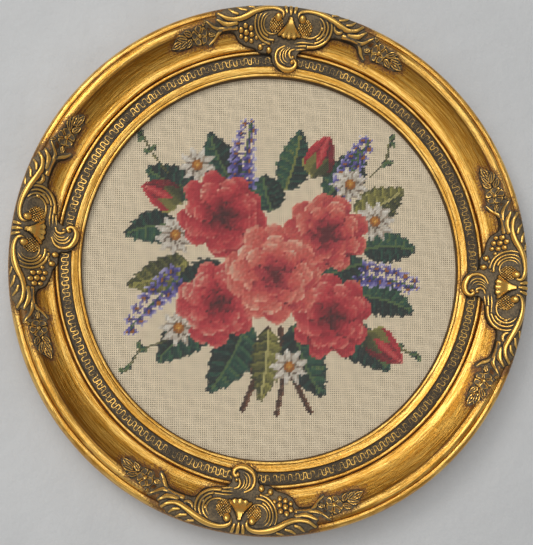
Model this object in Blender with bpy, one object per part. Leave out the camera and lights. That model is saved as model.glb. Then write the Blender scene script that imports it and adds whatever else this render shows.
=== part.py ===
"""A round needlepoint canvas panel in its gilt frame: the moulding, the canvas and four cast cartouches.

Metres, +Z up. The panel faces -Y and its back lies against a wall, at +Y.
The origin is the centre of the frame, half-way through its depth.
Heights are measured forward from the wall, and reaches outward from the sight edge of the moulding.
"""

import math

import bmesh
import bpy

MM = 0.001

# Driving sizes of the frame
SIGHT_RADIUS = 164 * MM
OVAL = 0.975
DEPTH = 40 * MM
RING_STEPS = 64

# Rabbet that holds the canvas, and the canvas itself
RABBET_REACH = 8 * MM
LEDGE_HEIGHT = 9 * MM
CANVAS_THICKNESS = 1.5 * MM
CANVAS_GAP = 0.3 * MM
CANVAS_RADIUS = SIGHT_RADIUS + RABBET_REACH - 0.5 * MM
BACK_REACH = 58 * MM

# Cove of the moulding: a round hollow that climbs from its lip to the outer roll
COVE_START = (28 * MM, 20 * MM)
COVE_RADIUS = 33.4 * MM
COVE_FIRST_DEG = 14
COVE_LAST_DEG = 50
COVE_PARTS = 6

# Cartouches: where each one's middle sits, clockwise from the top, and the arc that carries it
CARTOUCHES = {"top": 3.9, "right": 95.5, "bottom": 188.5, "left": 276.8}
ARC_RADIUS = SIGHT_RADIUS + 49 * MM
SEAT_GAP = 0.35 * MM
CELL = 3.3 * MM
SPRAY_PLATE = 2.0 * MM
BODY_END = 56 * MM
SPRAY_START = 74 * MM
SOCKET_HEIGHT = 11.5 * MM

# The ornament is drawn over a face 63 mm wide, then drawn in to end on the outer bead, at a reach of 59 mm
FACE_START = 2.4
FACE_SCALE = 0.9

# Outline of a cartouche as (along the arc, drawn reach) in millimetres, round from the left tip of its spray
OUTLINE = [
    (-113, 42), (-106, 38.2), (-92, 37.5), (-84, 36.8), (-79, 33.6), (-75, 33.6), (-66, 41.5), (-53, 41),
    (-48.5, 33), (-42, 28.5), (-33, 25.5), (-28, 21.5), (-17, 20), (-15.5, 13), (-11.5, 7.2), (-4, 4.2),
    (4, 4.2), (10, 7.5), (12.8, 13), (9.5, 19.5), (14, 26), (26, 29), (34.5, 33.5), (39.5, 41.5), (50, 43),
    (63, 42.5), (69, 37), (75.5, 32.8), (80, 36), (90, 38.3), (104, 39), (112, 44.5), (106, 48.3),
    (96, 52.5), (84, 52.5), (76, 57.5), (70.5, 60), (69, 63), (-66, 63), (-67, 57), (-70.5, 54),
    (-77, 57.5), (-80, 52.3), (-98, 51.5), (-107, 47),
]

# Level of a cartouche's plate as (reach, height) in millimetres: it bridges the cove
PLATE_LEVEL = [
    (6, 17.6), (11, 19.2), (21, 20.2), (28, 22.2), (36.5, 26.5), (44, 32.2), (50, 36.6), (56, 36.6),
    (60, 33.2),
]

# Raised scrolls as points (along the arc, drawn reach), half-width and rise, all in millimetres
VOLUTE = {
    "points": [(-12, 51.5), (-9.5, 55.5), (-16, 59.5), (-25, 59.5), (-36, 55), (-47, 51), (-57, 51.8), (-64, 57)],
    "half_width": 3.6, "rise": 2.8,
}
NEST = {
    "points": [(-24, 57), (-31, 49), (-30, 38.5), (-23, 31)],
    "half_width": 3.2, "rise": 2.2,
}
TONGUE = {
    "points": [(-7, 26), (-12, 19), (-10.5, 11), (-3, 7.2), (5.5, 8), (9, 13)],
    "half_width": 3.2, "rise": 3.0,
}
TONGUE_ROOT = {
    "points": [(2.5, 16.5), (1.5, 23), (8, 27.5), (22, 31)],
    "half_width": 3.0, "rise": 2.0,
}
SPRAY_STEM = {
    "points": [(-52, 44), (-65, 45), (-72, 50), (-77, 55)],
    "half_width": 2.6, "rise": 1.4,
}

# Raised bosses as (along the arc, drawn reach, radius, rise) in millimetres
SHELL = (-0.8, 43, 12.5, 4.0)
BERRIES = (-42, 37.5, 7.0, 2.4)
BLOSSOM_LEFT = (-84, 44.7, 7.0, 2.6)
BLOSSOM_RIGHT = (84.6, 45.0, 7.0, 2.6)
LEAVES_LEFT = (-100, 44.5, 6.5, 1.8)
LEAVES_RIGHT = (100, 45.5, 6.5, 1.8)


def clear_scene():
    for old in list(bpy.data.objects):
        bpy.data.objects.remove(old, do_unlink=True)


def finish_material(name, colour, roughness, metallic):
    material = bpy.data.materials.new(name)
    material.use_nodes = True
    shader = material.node_tree.nodes["Principled BSDF"]
    shader.inputs["Base Color"].default_value = (*colour, 1)
    shader.inputs["Roughness"].default_value = roughness
    shader.inputs["Metallic"].default_value = metallic
    return material


def new_object(name, bm, material):
    bmesh.ops.recalc_face_normals(bm, faces=bm.faces)
    mesh = bpy.data.meshes.new(name)
    bm.to_mesh(mesh)
    bm.free()
    mesh.materials.append(material)
    obj = bpy.data.objects.new(name, mesh)
    bpy.context.scene.collection.objects.link(obj)
    mesh.shade_smooth()
    mesh.set_sharp_from_angle(angle=math.radians(35))
    return obj


def place(reach, height, turn):
    """World point at this reach from the sight edge and height from the wall, turn radians clockwise from the top."""
    radius = SIGHT_RADIUS + reach
    return (OVAL * radius * math.sin(turn), DEPTH / 2 - height, radius * math.cos(turn))


def cove_points():
    first = math.radians(COVE_FIRST_DEG)
    swing = math.radians(COVE_LAST_DEG) - first
    points = []
    for k in range(COVE_PARTS + 1):
        slope = first + swing * k / COVE_PARTS
        reach = COVE_START[0] + COVE_RADIUS * (math.sin(slope) - math.sin(first))
        points.append((reach, COVE_START[1] + COVE_RADIUS * (math.cos(first) - math.cos(slope))))
    return points


def front_profile():
    """The moulding's show face from the sight edge outward: lip, frieze, bead, cove, roll and outer bead."""
    lip = [(1.8, 9.6), (1.9, 13.4), (2.8, 14.7), (4.2, 14.9), (6.2, 16.1), (9.9, 17.0)]
    frieze = [(11.0, 15.6), (21.1, 15.6)]
    bead = [(22.2, 18.2), (23.9, 16.4)]
    cove_lip = [(25.5, 19.0)]
    roll = [(46.6, 32.4), (48.0, 34.0), (50.0, 34.8), (52.4, 34.2), (54.4, 32.6)]
    outer_bead = [(56.0, 32.8), (58.6, 32.2), (60.8, 29.4), (62.0, 24.0)]
    inner = [(reach * MM, height * MM) for reach, height in lip + frieze + bead + cove_lip]
    outer = [(reach * MM, height * MM) for reach, height in roll + outer_bead]
    return inner + cove_points() + outer


def ring_profile():
    """Closed section of the moulding as (reach, height), with the rabbet cut in its back."""
    back = [(61.0 * MM, 12.0 * MM), (BACK_REACH, 0), (RABBET_REACH, 0), (RABBET_REACH, LEDGE_HEIGHT)]
    ledge_nose = [(2.4 * MM, LEDGE_HEIGHT)]
    return front_profile() + back + ledge_nose


def grown(profile, gap):
    """The closed section moved outward by gap, so that it cuts with that clearance."""
    moved = []
    for k, (reach, height) in enumerate(profile):
        before = profile[k - 1]
        after = profile[(k + 1) % len(profile)]
        along_in = (reach - before[0], height - before[1])
        along_out = (after[0] - reach, after[1] - height)
        normals = []
        for dx, dy in (along_in, along_out):
            length = math.hypot(dx, dy)
            normals.append((-dy / length, dx / length))
        sum_x = normals[0][0] + normals[1][0]
        sum_y = normals[0][1] + normals[1][1]
        scale = 2 * gap / max(sum_x * sum_x + sum_y * sum_y, 0.8)
        moved.append((reach + sum_x * scale, height + sum_y * scale))
    return moved


def turned_ring(profile):
    """Spins a closed section round the panel's axis, then draws the ring in to its oval."""
    bm = bmesh.new()
    corners = [bm.verts.new((SIGHT_RADIUS + reach, DEPTH / 2 - height, 0)) for reach, height in profile]
    edges = [bm.edges.new((corners[k - 1], corners[k])) for k in range(len(corners))]
    bmesh.ops.spin(
        bm, geom=corners + edges, cent=(0, 0, 0), axis=(0, 1, 0), angle=math.tau, steps=RING_STEPS, use_merge=True
    )
    bmesh.ops.remove_doubles(bm, verts=bm.verts, dist=0.00001)
    bmesh.ops.scale(bm, vec=(OVAL, 1, 1), verts=bm.verts)
    return bm


def level(table, at):
    """Straight interpolation in a table of pairs."""
    if at <= table[0][0]:
        return table[0][1]
    for (x0, y0), (x1, y1) in zip(table, table[1:]):
        if at <= x1:
            share = (at - x0) / (x1 - x0) if x1 > x0 else 0
            return y0 + (y1 - y0) * share
    return table[-1][1]


def smooth_curve(points, parts=4):
    """Catmull-Rom points through the given ones."""
    ends = [points[0], *points, points[-1]]
    curve = []
    for k in range(1, len(ends) - 2):
        a, b, c, d = ends[k - 1 : k + 3]
        for n in range(parts):
            t = n / parts
            curve.append(tuple(
                0.5 * (2 * b[i] + (c[i] - a[i]) * t + (2 * a[i] - 5 * b[i] + 4 * c[i] - d[i]) * t * t
                       + (3 * b[i] - a[i] - 3 * c[i] + d[i]) * t ** 3)
                for i in range(2)
            ))
    return curve + [points[-1]]


def on_face(points):
    """Drawn points of the ornament, drawn in to the width of the moulding."""
    return [(along, FACE_START + FACE_SCALE * reach) for along, reach in points]


def mirrored(scroll):
    return {**scroll, "points": [(-along, reach) for along, reach in scroll["points"]]}


def distance_to(curve, along, reach):
    nearest = math.inf
    for (x0, y0), (x1, y1) in zip(curve, curve[1:]):
        dx, dy = x1 - x0, y1 - y0
        share = ((along - x0) * dx + (reach - y0) * dy) / (dx * dx + dy * dy)
        share = min(1, max(0, share))
        nearest = min(nearest, math.hypot(along - x0 - share * dx, reach - y0 - share * dy))
    return nearest


SCROLLS = [VOLUTE, mirrored(VOLUTE), NEST, mirrored(NEST), TONGUE, TONGUE_ROOT, SPRAY_STEM, mirrored(SPRAY_STEM)]
CURVES = [(smooth_curve(on_face(s["points"])), s["half_width"], s["rise"]) for s in SCROLLS]
BOSSES = [SHELL, BERRIES, BLOSSOM_LEFT, BLOSSOM_RIGHT, LEAVES_LEFT, LEAVES_RIGHT]
CENTRES = on_face([(along, reach) for along, reach, _, _ in BOSSES])


def carving(along, reach):
    """Rise of the scrolls and bosses over the plate, in metres, at a point in metres."""
    x, y = along / MM, reach / MM
    rise = 0
    for curve, half_width, height in CURVES:
        share = distance_to(curve, x, y) / half_width
        if share < 1:
            rise = max(rise, height * math.sqrt(1 - share * share))
    for (centre_x, centre_y), (_, _, radius, height) in zip(CENTRES, BOSSES):
        share = math.hypot(x - centre_x, y - centre_y) / radius
        if share < 1:
            rise = max(rise, height * math.sqrt(1 - share * share))
    return rise * MM


def plate_height(along, reach):
    """Level of the plate: it bridges the cove under the body and follows the moulding under the sprays."""
    bridge = level(PLATE_LEVEL, reach / MM) * MM
    moulded = level(front_profile(), reach) + SPRAY_PLATE
    share = min(1, max(0, (abs(along) - BODY_END) / (SPRAY_START - BODY_END)))
    return bridge + (moulded - bridge) * share


def cartouche_block(turn):
    """Closed block with the carved face on top; its underside is still inside the moulding."""
    bm = bmesh.new()
    rim = on_face(OUTLINE)
    face = bm.faces.new([bm.verts.new((x * MM, y * MM, 0)) for x, y in rim])
    face.normal_update()
    columns = int(max(abs(x) for x, _ in rim) * MM / CELL)
    rows = int(max(y for _, y in rim) * MM / CELL)
    cuts = [((k * CELL, 0, 0), (1, 0, 0)) for k in range(-columns, columns + 1)]
    cuts += [((0, k * CELL, 0), (0, 1, 0)) for k in range(1, rows + 1)]
    for point, normal in cuts:
        everything = bm.verts[:] + bm.edges[:] + bm.faces[:]
        bmesh.ops.bisect_plane(bm, geom=everything, dist=0.00005, plane_co=point, plane_no=normal)
    bmesh.ops.triangulate(bm, faces=bm.faces)
    front = bmesh.ops.extrude_face_region(bm, geom=bm.faces[:])
    carved = {v for v in front["geom"] if isinstance(v, bmesh.types.BMVert)}
    for vert in bm.verts:
        along, reach = vert.co.x, vert.co.y
        if vert in carved:
            height = plate_height(along, reach) + carving(along, reach)
        else:
            height = SOCKET_HEIGHT
        vert.co = place(reach, height, turn + along / ARC_RADIUS)
    return bm


def build_moulding(material):
    return new_object("moulding", turned_ring(ring_profile()), material)


def build_canvas(material):
    """Flat round of canvas in the rabbet, with its face just behind the ledge."""
    bm = bmesh.new()
    bmesh.ops.create_cone(
        bm, cap_ends=True, segments=RING_STEPS, radius1=CANVAS_RADIUS, radius2=CANVAS_RADIUS, depth=CANVAS_THICKNESS
    )
    for vert in bm.verts:
        across, up, through = vert.co
        middle = LEDGE_HEIGHT - CANVAS_GAP - CANVAS_THICKNESS / 2
        vert.co = (OVAL * across, DEPTH / 2 - middle - through, up)
    return new_object("canvas", bm, material)


def build_cutter(material):
    cutter = new_object("seat_cutter", turned_ring(grown(ring_profile(), SEAT_GAP)), material)
    cutter.hide_render = True
    cutter.display_type = "WIRE"
    return cutter


def build_cartouche(side, degrees, cutter, material):
    """One cast ornament, seated on the moulding with a fine gap."""
    ornament = new_object("cartouche_" + side, cartouche_block(math.radians(degrees)), material)
    seat = ornament.modifiers.new("seat", "BOOLEAN")
    seat.operation = "DIFFERENCE"
    seat.object = cutter
    return ornament


def main():
    clear_scene()
    gilt = finish_material("gilt", (0.66, 0.42, 0.12), 0.34, 1.0)
    antique_gilt = finish_material("antique_gilt", (0.33, 0.25, 0.14), 0.52, 0.7)
    canvas_cloth = finish_material("canvas_cloth", (0.62, 0.54, 0.41), 0.9, 0.0)
    panel = bpy.data.objects.new("framed_panel", None)
    bpy.context.scene.collection.objects.link(panel)
    cutter = build_cutter(gilt)
    pieces = [build_moulding(gilt), build_canvas(canvas_cloth)]
    for side, degrees in CARTOUCHES.items():
        pieces.append(build_cartouche(side, degrees, cutter, antique_gilt))
    for piece in pieces:
        piece.parent = panel


main()
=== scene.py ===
"""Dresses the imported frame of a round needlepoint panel.

Heights are measured forward from the wall, and reaches outward from the sight edge of the moulding.
Turns run clockwise from the top as the panel hangs. The tables below and the carving are in millimetres,
and the posy's chart is in stitches. All else is in metres.
"""

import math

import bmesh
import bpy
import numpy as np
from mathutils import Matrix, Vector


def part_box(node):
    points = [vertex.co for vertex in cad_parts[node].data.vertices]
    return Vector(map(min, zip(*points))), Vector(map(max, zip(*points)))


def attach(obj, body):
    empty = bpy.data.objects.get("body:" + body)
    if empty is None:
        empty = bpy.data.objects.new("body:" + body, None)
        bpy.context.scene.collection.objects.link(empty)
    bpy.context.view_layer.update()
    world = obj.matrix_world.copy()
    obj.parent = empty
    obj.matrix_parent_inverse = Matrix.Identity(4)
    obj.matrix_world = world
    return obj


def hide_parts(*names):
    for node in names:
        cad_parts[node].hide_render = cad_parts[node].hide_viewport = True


bl_info = {
    "name": "Needlepoint Panel Maker",
    "version": (1, 0, 0),
    "blender": (4, 5, 0),
    "location": "3D View > Sidebar > Panel Maker",
    "description": "Gilt moulding, cast cartouches, canvas and wool stitches for a round wall panel",
    "category": "Mesh",
}

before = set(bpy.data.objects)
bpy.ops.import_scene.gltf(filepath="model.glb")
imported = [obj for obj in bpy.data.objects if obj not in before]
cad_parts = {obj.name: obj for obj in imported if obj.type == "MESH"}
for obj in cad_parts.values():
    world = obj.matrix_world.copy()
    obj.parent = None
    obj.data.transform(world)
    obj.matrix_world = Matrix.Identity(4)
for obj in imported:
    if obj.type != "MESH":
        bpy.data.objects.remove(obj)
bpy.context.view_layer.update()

BODY = "root"
MM = 0.001

# Sizes read from the frame
RING_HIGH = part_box("moulding")[1]
CLOTH_LOW, CLOTH_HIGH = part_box("canvas")
OUTER_REACH = 62 * MM
SIGHT_RADIUS = RING_HIGH[2] - OUTER_REACH
OVAL = RING_HIGH[0] / RING_HIGH[2]
WALL_Y = RING_HIGH[1]
CANVAS_RADIUS = CLOTH_HIGH[2]

# The moulding's section, in runs that meet at a break: (reach, height, glazing and painted shade, bole)
# The lip's inner wall is fully dark here: painted shade at the sight edge, where the lip meets the canvas
LIP = [
    (1.8, 9, 1, 0), (1.85, 10.5, 1, 0), (1.9, 12.8, 1, 0), (2.15, 13.8, 1, 0), (2.5, 14.4, 0.5, 0.1),
    (2.8, 14.7, 0, 0), (3.6, 15.0, 0, 0), (4.3, 15.0, 0, 0.2),
]
LIP_SLOPE = [
    (4.6, 14.7, 0.8, 0.6), (5.0, 15.2, 0.2, 0.5), (6.2, 15.8, 0, 0.3), (7.9, 16.4, 0, 0.2),
    (9.3, 16.8, 0, 0.25), (10.2, 16.8, 0.1, 0.5), (10.7, 16.2, 0.6, 0.4),
]
FRIEZE = [
    (11, 15.7, 1, 0), (11.6, 15.6, 0.6, 0), (16.1, 15.6, 0.3, 0), (20.5, 15.6, 0.6, 0), (21.1, 15.7, 1, 0),
]
BEAD = [
    (21.25, 17.2, 0, 0), (21.5, 18.1, 0, 0), (22.3, 18.45, 0, 0), (23.2, 18.35, 0, 0), (23.7, 17.6, 0, 0),
    (23.9, 16.4, 0.5, 0.1),
]
GROOVE = [(24.1, 16, 0.9, 0), (24.5, 16.1, 0.8, 0.3)]
COVE_LIP = [(24.8, 17.4, 0.3, 0.4), (25.1, 18.6, 0, 0.2), (25.8, 19.4, 0, 0), (26.9, 19.85, 0, 0)]
ROLL = [
    (45.8, 31.4, 0.5, 0.6), (46.2, 32.1, 0.6, 0.7), (46.8, 32.9, 0.15, 0.6), (47.8, 33.8, 0, 0.3),
    (49, 34.5, 0, 0.1), (50.2, 34.8, 0, 0), (51.4, 34.7, 0, 0.1), (52.8, 34.1, 0, 0.4),
    (53.8, 33.2, 0.1, 0.7), (54.3, 32.5, 0.6, 0.8),
]
OUTER_BEAD = [
    (54.6, 32.2, 0.8, 0.6), (55.2, 32.7, 0.1, 0.6), (56.4, 33, 0, 0.4), (58, 32.7, 0, 0.4),
    (59.6, 31.4, 0, 0.5), (60.9, 29.2, 0.1, 0.5), (61.7, 26.4, 0.2, 0.4), (62, 24, 0.3, 0.3),
    (62, 20, 0.3, 0.3), (61, 12, 0.3, 0.4), (59.6, 5, 0.4, 0.4), (58, 0, 0.5, 0.4),
]
BACK = [(57.5, 0, 0, 0), (8, 0, 0, 0), (8, 9, 0, 0), (2.4, 9, 0, 0)]

# The cove is an arc: where it starts, its radius, and the slopes it starts and ends at
COVE_START = (28, 20)
COVE_RADIUS = 33.4
COVE_FIRST_DEG = 14
COVE_LAST_DEG = 50
COVE_PARTS = 18
COVE_BOLE = 0.1
# The cove's dark glazing and how far it takes to fade in: partly real brown toning, partly painted shade in
# the hollow
COVE_TONING_AND_SHADE = 0.38
COVE_TONING_AND_SHADE_WIDTH = 5
RUN_PARTS = 3

# Where the moulding's finish changes: the frieze is patinated, and the back and the rabbet are bare wood
FRIEZE_EDGES = (10.95, 21.15)
FRIEZE_LOWEST = 15
BACK_HEIGHT = 0.4
RABBET_HEIGHT = 9.2
RABBET_REACH = 9

# Dark toning round the castings: how fast it fades, and the heights between which it sets in
TONING_FADE = 4.4
TONING_HEIGHTS = (16, 26)
TONING_ROLL_REACH = 50
TONING_LIFT = 12

# Cartouches: where each one's middle sits, in degrees, and the arc that carries it
CARTOUCHES = {"top": 3.9, "right": 95.5, "bottom": 188.5, "left": 276.8}
ARC_RADIUS = SIGHT_RADIUS + 49 * MM

# The plate of a cartouche: where its body ends and its sprays start, and how far these stand off the moulding
BODY_END = 56
SPRAY_START = 74
SPRAY_PLATE = 0.9

# A casting's edge rises out of the moulding between these distances into its outline. Faces further out
# are dropped. SUNK is how deep the edge starts, and LEAN the share of its rise by which a ridge leans.
EDGE_BAND = (-1.0, 0.45)
EDGE_KEPT = -1.7
EDGE_REACH = 60.9
SUNK = 1.1
LEAN = 0.4

# The sprays' edge is drawn in to their carving: the rise that counts as carved, the blur that spreads it,
# and what turns the blurred share into a distance
TRIM_RISE = 0.25
TRIM_BLUR = 1.9
TRIM_SHARES = (0.02, 0.26)
TRIM_MIDDLE = 0.45
TRIM_WIDTH = 3.4
TRIM_BLEND = 8

# The carved grid, as half its length along the arc and its first and last reach
FIELD_HALF = 116
FIELD_START = 4.4
FIELD_END = 62.2

# Broad swells under the carving: (along, reach, radius, rise)
SWELLS = [(-0.4, 43, 16, 1.2), (-18, 43, 15, 0.8), (18, 43, 16, 0.8), (0, 15, 10, 0.9)]

# The ornament is drawn over a face 63 mm wide, then scaled to end on the outer bead, at 59 mm
FACE_START = 2.4
FACE_SCALE = 0.9

# Outline of a cartouche as (along the arc, drawn reach), round from the left tip of its spray
OUTLINE = [
    (-113, 42), (-106, 38.2), (-92, 37.5), (-84, 36.8), (-79, 33.6), (-75, 33.6), (-66, 41.5), (-53, 41),
    (-48.5, 33), (-42, 28.5), (-33, 25.5), (-28, 21.5), (-17, 20), (-15.5, 13), (-11.5, 7.2), (-4, 4.2),
    (4, 4.2), (10, 7.5), (12.8, 13), (9.5, 19.5), (14, 26), (26, 29), (34.5, 33.5), (39.5, 41.5), (50, 43),
    (63, 42.5), (69, 37), (75.5, 32.8), (80, 36), (90, 38.3), (104, 39), (112, 44.5), (106, 48.3),
    (96, 52.5), (84, 52.5), (76, 57.5), (70.5, 60), (68.5, 62), (63, 63), (35, 63.2), (0, 63.4), (-35, 63.2),
    (-60, 63), (-65.5, 61.6), (-67, 57.5), (-70.5, 54), (-77, 57.5), (-80, 52.3), (-98, 51.5), (-107, 47),
]

# Level of a cartouche's plate as (reach, height)
PLATE = [
    (4, 17.2), (6, 17.6), (11, 19.2), (21, 20.2), (28, 22.2), (36.5, 26.5), (44, 32), (47, 34), (50, 35.8),
    (53, 36.1), (56, 35.4), (58.5, 34), (60, 32.6), (62, 30.4),
]

# Raised strokes of a cartouche: points as drawn, half-widths at start, middle and end,
# and lift as a share of them
VOLUTES = [
    ([(-8.2, 51), (-7.2, 54), (-9.2, 57.6), (-15, 59.8), (-23.8, 59.2), (-33, 56), (-41, 52), (-50, 50.6),
      (-58.2, 53), (-64, 58.5)], (0.9, 2.7, 1.3), 1.1),
    ([(6.6, 51), (6.2, 54), (8.8, 57.4), (16, 59.6), (25, 59), (36, 55.6), (45, 52.4), (53, 51.2),
      (59.5, 54.4), (63, 59.5)], (0.9, 2.7, 1.3), 1.1),
]
FINGERS = [
    ([(-47.5, 55.4), (-51, 57.3), (-54.5, 61.5)], (1.3, 1.5, 0.7), 1.0),
    ([(-39.5, 58.2), (-44, 60), (-47.5, 63)], (1.2, 1.4, 0.7), 1.0),
    ([(-32.5, 61), (-36, 62.3), (-39, 64)], (1.0, 1.2, 0.7), 1.0),
    ([(-49.5, 47.6), (-58, 47.4), (-66, 52.5)], (1.9, 2.1, 0.9), 1.0),
    ([(49.5, 55.2), (53.5, 57.4), (56, 61.5)], (1.3, 1.5, 0.7), 1.0),
    ([(42.5, 58), (47, 60.2), (49.8, 63)], (1.2, 1.4, 0.7), 1.0),
    ([(35.5, 61), (39, 62.3), (41.4, 64)], (1.0, 1.2, 0.7), 1.0),
    ([(54, 47.8), (62, 49.2), (67.5, 55.5)], (1.9, 2.1, 0.9), 1.0),
    ([(-4.2, 55), (-4.8, 58.5), (-5.4, 62.4)], (0.7, 1.5, 1.4), 1.0),
    ([(-0.8, 53.6), (-0.8, 58), (-0.8, 62.6)], (0.8, 1.7, 1.5), 1.1),
    ([(2.6, 55), (3.2, 58.5), (3.8, 62.4)], (0.7, 1.5, 1.4), 1.0),
]
TONGUE = [
    ([(-3.5, 28), (-9.5, 24.6), (-12.2, 19.4), (-11.8, 13.8), (-8.9, 9.4), (-3, 6.4), (3.4, 6.0), (8.2, 8.4),
      (9.6, 12.2), (7.4, 14.8), (5.2, 13.4)], (0.9, 2.4, 1.7), 1.1),
    ([(-2.2, 27.4), (-7.0, 22.4), (-7.6, 16.6), (-5.2, 12.4), (-0.6, 10.2)], (0.6, 0.9, 0.5), 1.1),
    ([(0.2, 27.4), (-4.0, 23), (-4.8, 18), (-3.0, 14.2), (1.2, 12.2)], (0.5, 0.8, 0.5), 1.1),
    ([(2.4, 27.2), (-1.4, 23.4), (-2.2, 19), (-0.8, 16)], (0.5, 0.8, 0.5), 1.1),
    ([(6.2, 16.4), (3.2, 17.8), (1.8, 20.8), (2.8, 24.2), (6.4, 26)], (1.1, 1.5, 0.8), 1.1),
    ([(6.4, 28.6), (13, 29.6), (20, 30.4), (27, 30.6)], (0.5, 1.0, 0.8), 1.0),
    ([(5, 31), (11.5, 32.4), (18, 33), (25, 33.6)], (0.5, 0.9, 0.6), 1.0),
    ([(8, 25.4), (14, 26.8), (20, 28)], (0.5, 0.9, 0.5), 1.0),
]
SPRAY_STEMS = [
    ([(-50, 43.8), (-57, 44.6), (-64, 45), (-71.4, 48.7), (-77, 55)], (1.7, 1.6, 0.6), 0.95),
    ([(-62, 45), (-67, 42.2), (-71, 38.5), (-77.5, 35.2)], (1.2, 1.7, 0.6), 0.95),
    ([(49.5, 45.2), (58, 45.6), (66.5, 45.6), (72, 49.6), (76.2, 54.6)], (1.7, 1.6, 0.6), 0.95),
    ([(64, 45.4), (68, 41.6), (71.5, 37.8), (75.6, 35)], (1.2, 1.7, 0.6), 0.95),
]
SMALL_SCROLLS = [
    ([(38.8, 52), (40.2, 48.4), (43.6, 46.8), (46.6, 48.2), (45.6, 50)], (1.0, 1.4, 1.0), 0.95),
    ([(-27.5, 28.4), (-22.4, 29.6), (-17.8, 32.6), (-15.6, 30.2)], (0.9, 1.2, 0.8), 0.95),
    ([(33.5, 38), (37.6, 43), (38.4, 47.5)], (0.8, 1.2, 0.6), 0.9),
]

# Ribs of the two nests that curl beside the shell: centre, radii across and down,
# first and last angle in degrees, half-width
NEST_RIBS = [
    (-16.6, 45.6, 16.0, 16.4, 112, 262, 1.0), (-16.6, 45.6, 12.9, 13.2, 132, 276, 1.0),
    (-16.6, 45.6, 10.3, 10.4, 112, 244, 0.9), (-16.6, 45.6, 8.0, 8.0, 84, 296, 0.7),
    (17.4, 45.6, 20.4, 16.2, 62, -85, 1.3), (17.4, 45.6, 17.0, 13.5, 52, -62, 1.1),
    (17.4, 45.6, 13.8, 11.0, 58, -48, 1.1), (17.4, 45.6, 10.8, 8.6, 66, -104, 0.8),
]
NEST_LIFT = 1.3

# Pads of crossed cuts inside the nests: (along, drawn reach, radius)
NEST_HATCH = [(-13.2, 45.0, 6.8), (13.6, 43.8, 7.2)]
HATCH_PITCH = 2.3
HATCH_RISE = 1.5

# Balls, drops and berries: (along, drawn reach, radius, rise)
BALLS = [
    (-11.6, 50.8, 3.2, 3.8), (9.8, 50.8, 3.2, 3.8), (-28, 26.4, 2.6, 2.6), (-19.4, 23.6, 2.8, 2.8),
    (-45.6, 41.8, 2.3, 2.3), (-46.2, 36.8, 1.9, 2.0), (-41.4, 44.8, 2.2, 2.2), (-41.0, 39.4, 2.4, 2.6),
    (-36.4, 42.6, 2.1, 2.2), (-36.0, 37.4, 2.2, 2.3), (-41.6, 34.2, 2.2, 2.2), (-36.6, 32.2, 2.0, 2.0),
    (-31.6, 34.6, 1.6, 1.6), (5.4, 13.4, 2.1, 2.6), (5.6, 18.2, 1.7, 2.1),
    (29, 46.4, 1.6, 1.5), (31.6, 42.2, 1.5, 1.4), (28.4, 38.6, 1.3, 1.3),
]

# Leaves of the sprays: root and tip as drawn, half-width. A fuller leaf is widest nearer its tip.
LEAF_RISE = 2.1
LEAF_FULLNESS = 0.85
SPRAY_LEAVES = [
    ((-92, 43.4), (-98.6, 38.6), 2.2), ((-91, 46.4), (-97.6, 50.4), 2.1), ((-96, 44.6), (-105.4, 48.8), 2.2),
    ((-97, 43), (-105.6, 39.8), 2.1), ((-102, 43.8), (-112.4, 42.2), 2.3), ((-76, 43.6), (-70, 42), 1.6),
    ((92.6, 46.2), (100.5, 51.6), 2.2), ((92.6, 43.4), (100.6, 39.8), 2.2), ((97.6, 46), (108.6, 47.8), 2.2),
    ((98.6, 44), (110.8, 43), 2.2), ((77.6, 43.8), (71.6, 42.4), 1.6), ((80, 52), (76.2, 56), 1.5),
    ((-80, 50.6), (-76.6, 55.2), 1.5),
]

# Flowers of the sprays: (along, drawn reach)
SPRAY_FLOWERS = [(-84, 44.3), (85.4, 45.2)]
PETALS = 5
PETAL_ROOT = 0.8
PETAL_REACH = 7.4
PETAL_HALF = 3.3
PETAL_FULLNESS = 1.9
FLOWER_HEART = 1.7

# The fan-shaped shell in the middle: where it stands, its apex and foot as reaches,
# and its half-widths at the neck and the foot
SHELL_ALONG = -0.4
SHELL_APEX = 49.4
SHELL_FOOT = 32.4
SHELL_NECK = 1.4
SHELL_HALF = 13.0
SHELL_RIBS = 5
SHELL_RISE = 4.0

# One repeat of the frieze's running key, as (share of the repeat, reach)
KEY_PATH = [
    (0.0, 13.1), (0.2, 13.1), (0.36, 13.3), (0.43, 14.0), (0.45, 15.2), (0.45, 16.6), (0.47, 17.8),
    (0.56, 18.6), (0.72, 18.8), (0.88, 18.6), (0.96, 17.8), (0.98, 16.6), (0.98, 15.2), (1.0, 14.0),
    (1.0, 13.1),
]
KEY_BARS = [
    [(0.20, 15.2), (0.20, 17.0), (0.20, 19.4)],
    [(0.72, 12.6), (0.72, 14.6), (0.72, 16.6)],
]
KEY_SPAN = 6.5

# The key's ribbon: its foot's height, its rails as shares of its half-width and rise,
# and the rise of a bar and of its ends as shares
KEY_BASE = 15.45
KEY_RAILS = [(-1.35, 0.0), (-0.6, 1.0), (0.6, 1.0), (1.35, 0.0)]
BAR_RISE = 0.8
BAR_END = 0.25

# Heights between which the key goes from dark to rubbed, and how far each goes
KEY_RUB_HEIGHTS = (15.6, 16.2)
KEY_RUB = 0.60
KEY_RECESS = 0.8

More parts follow.
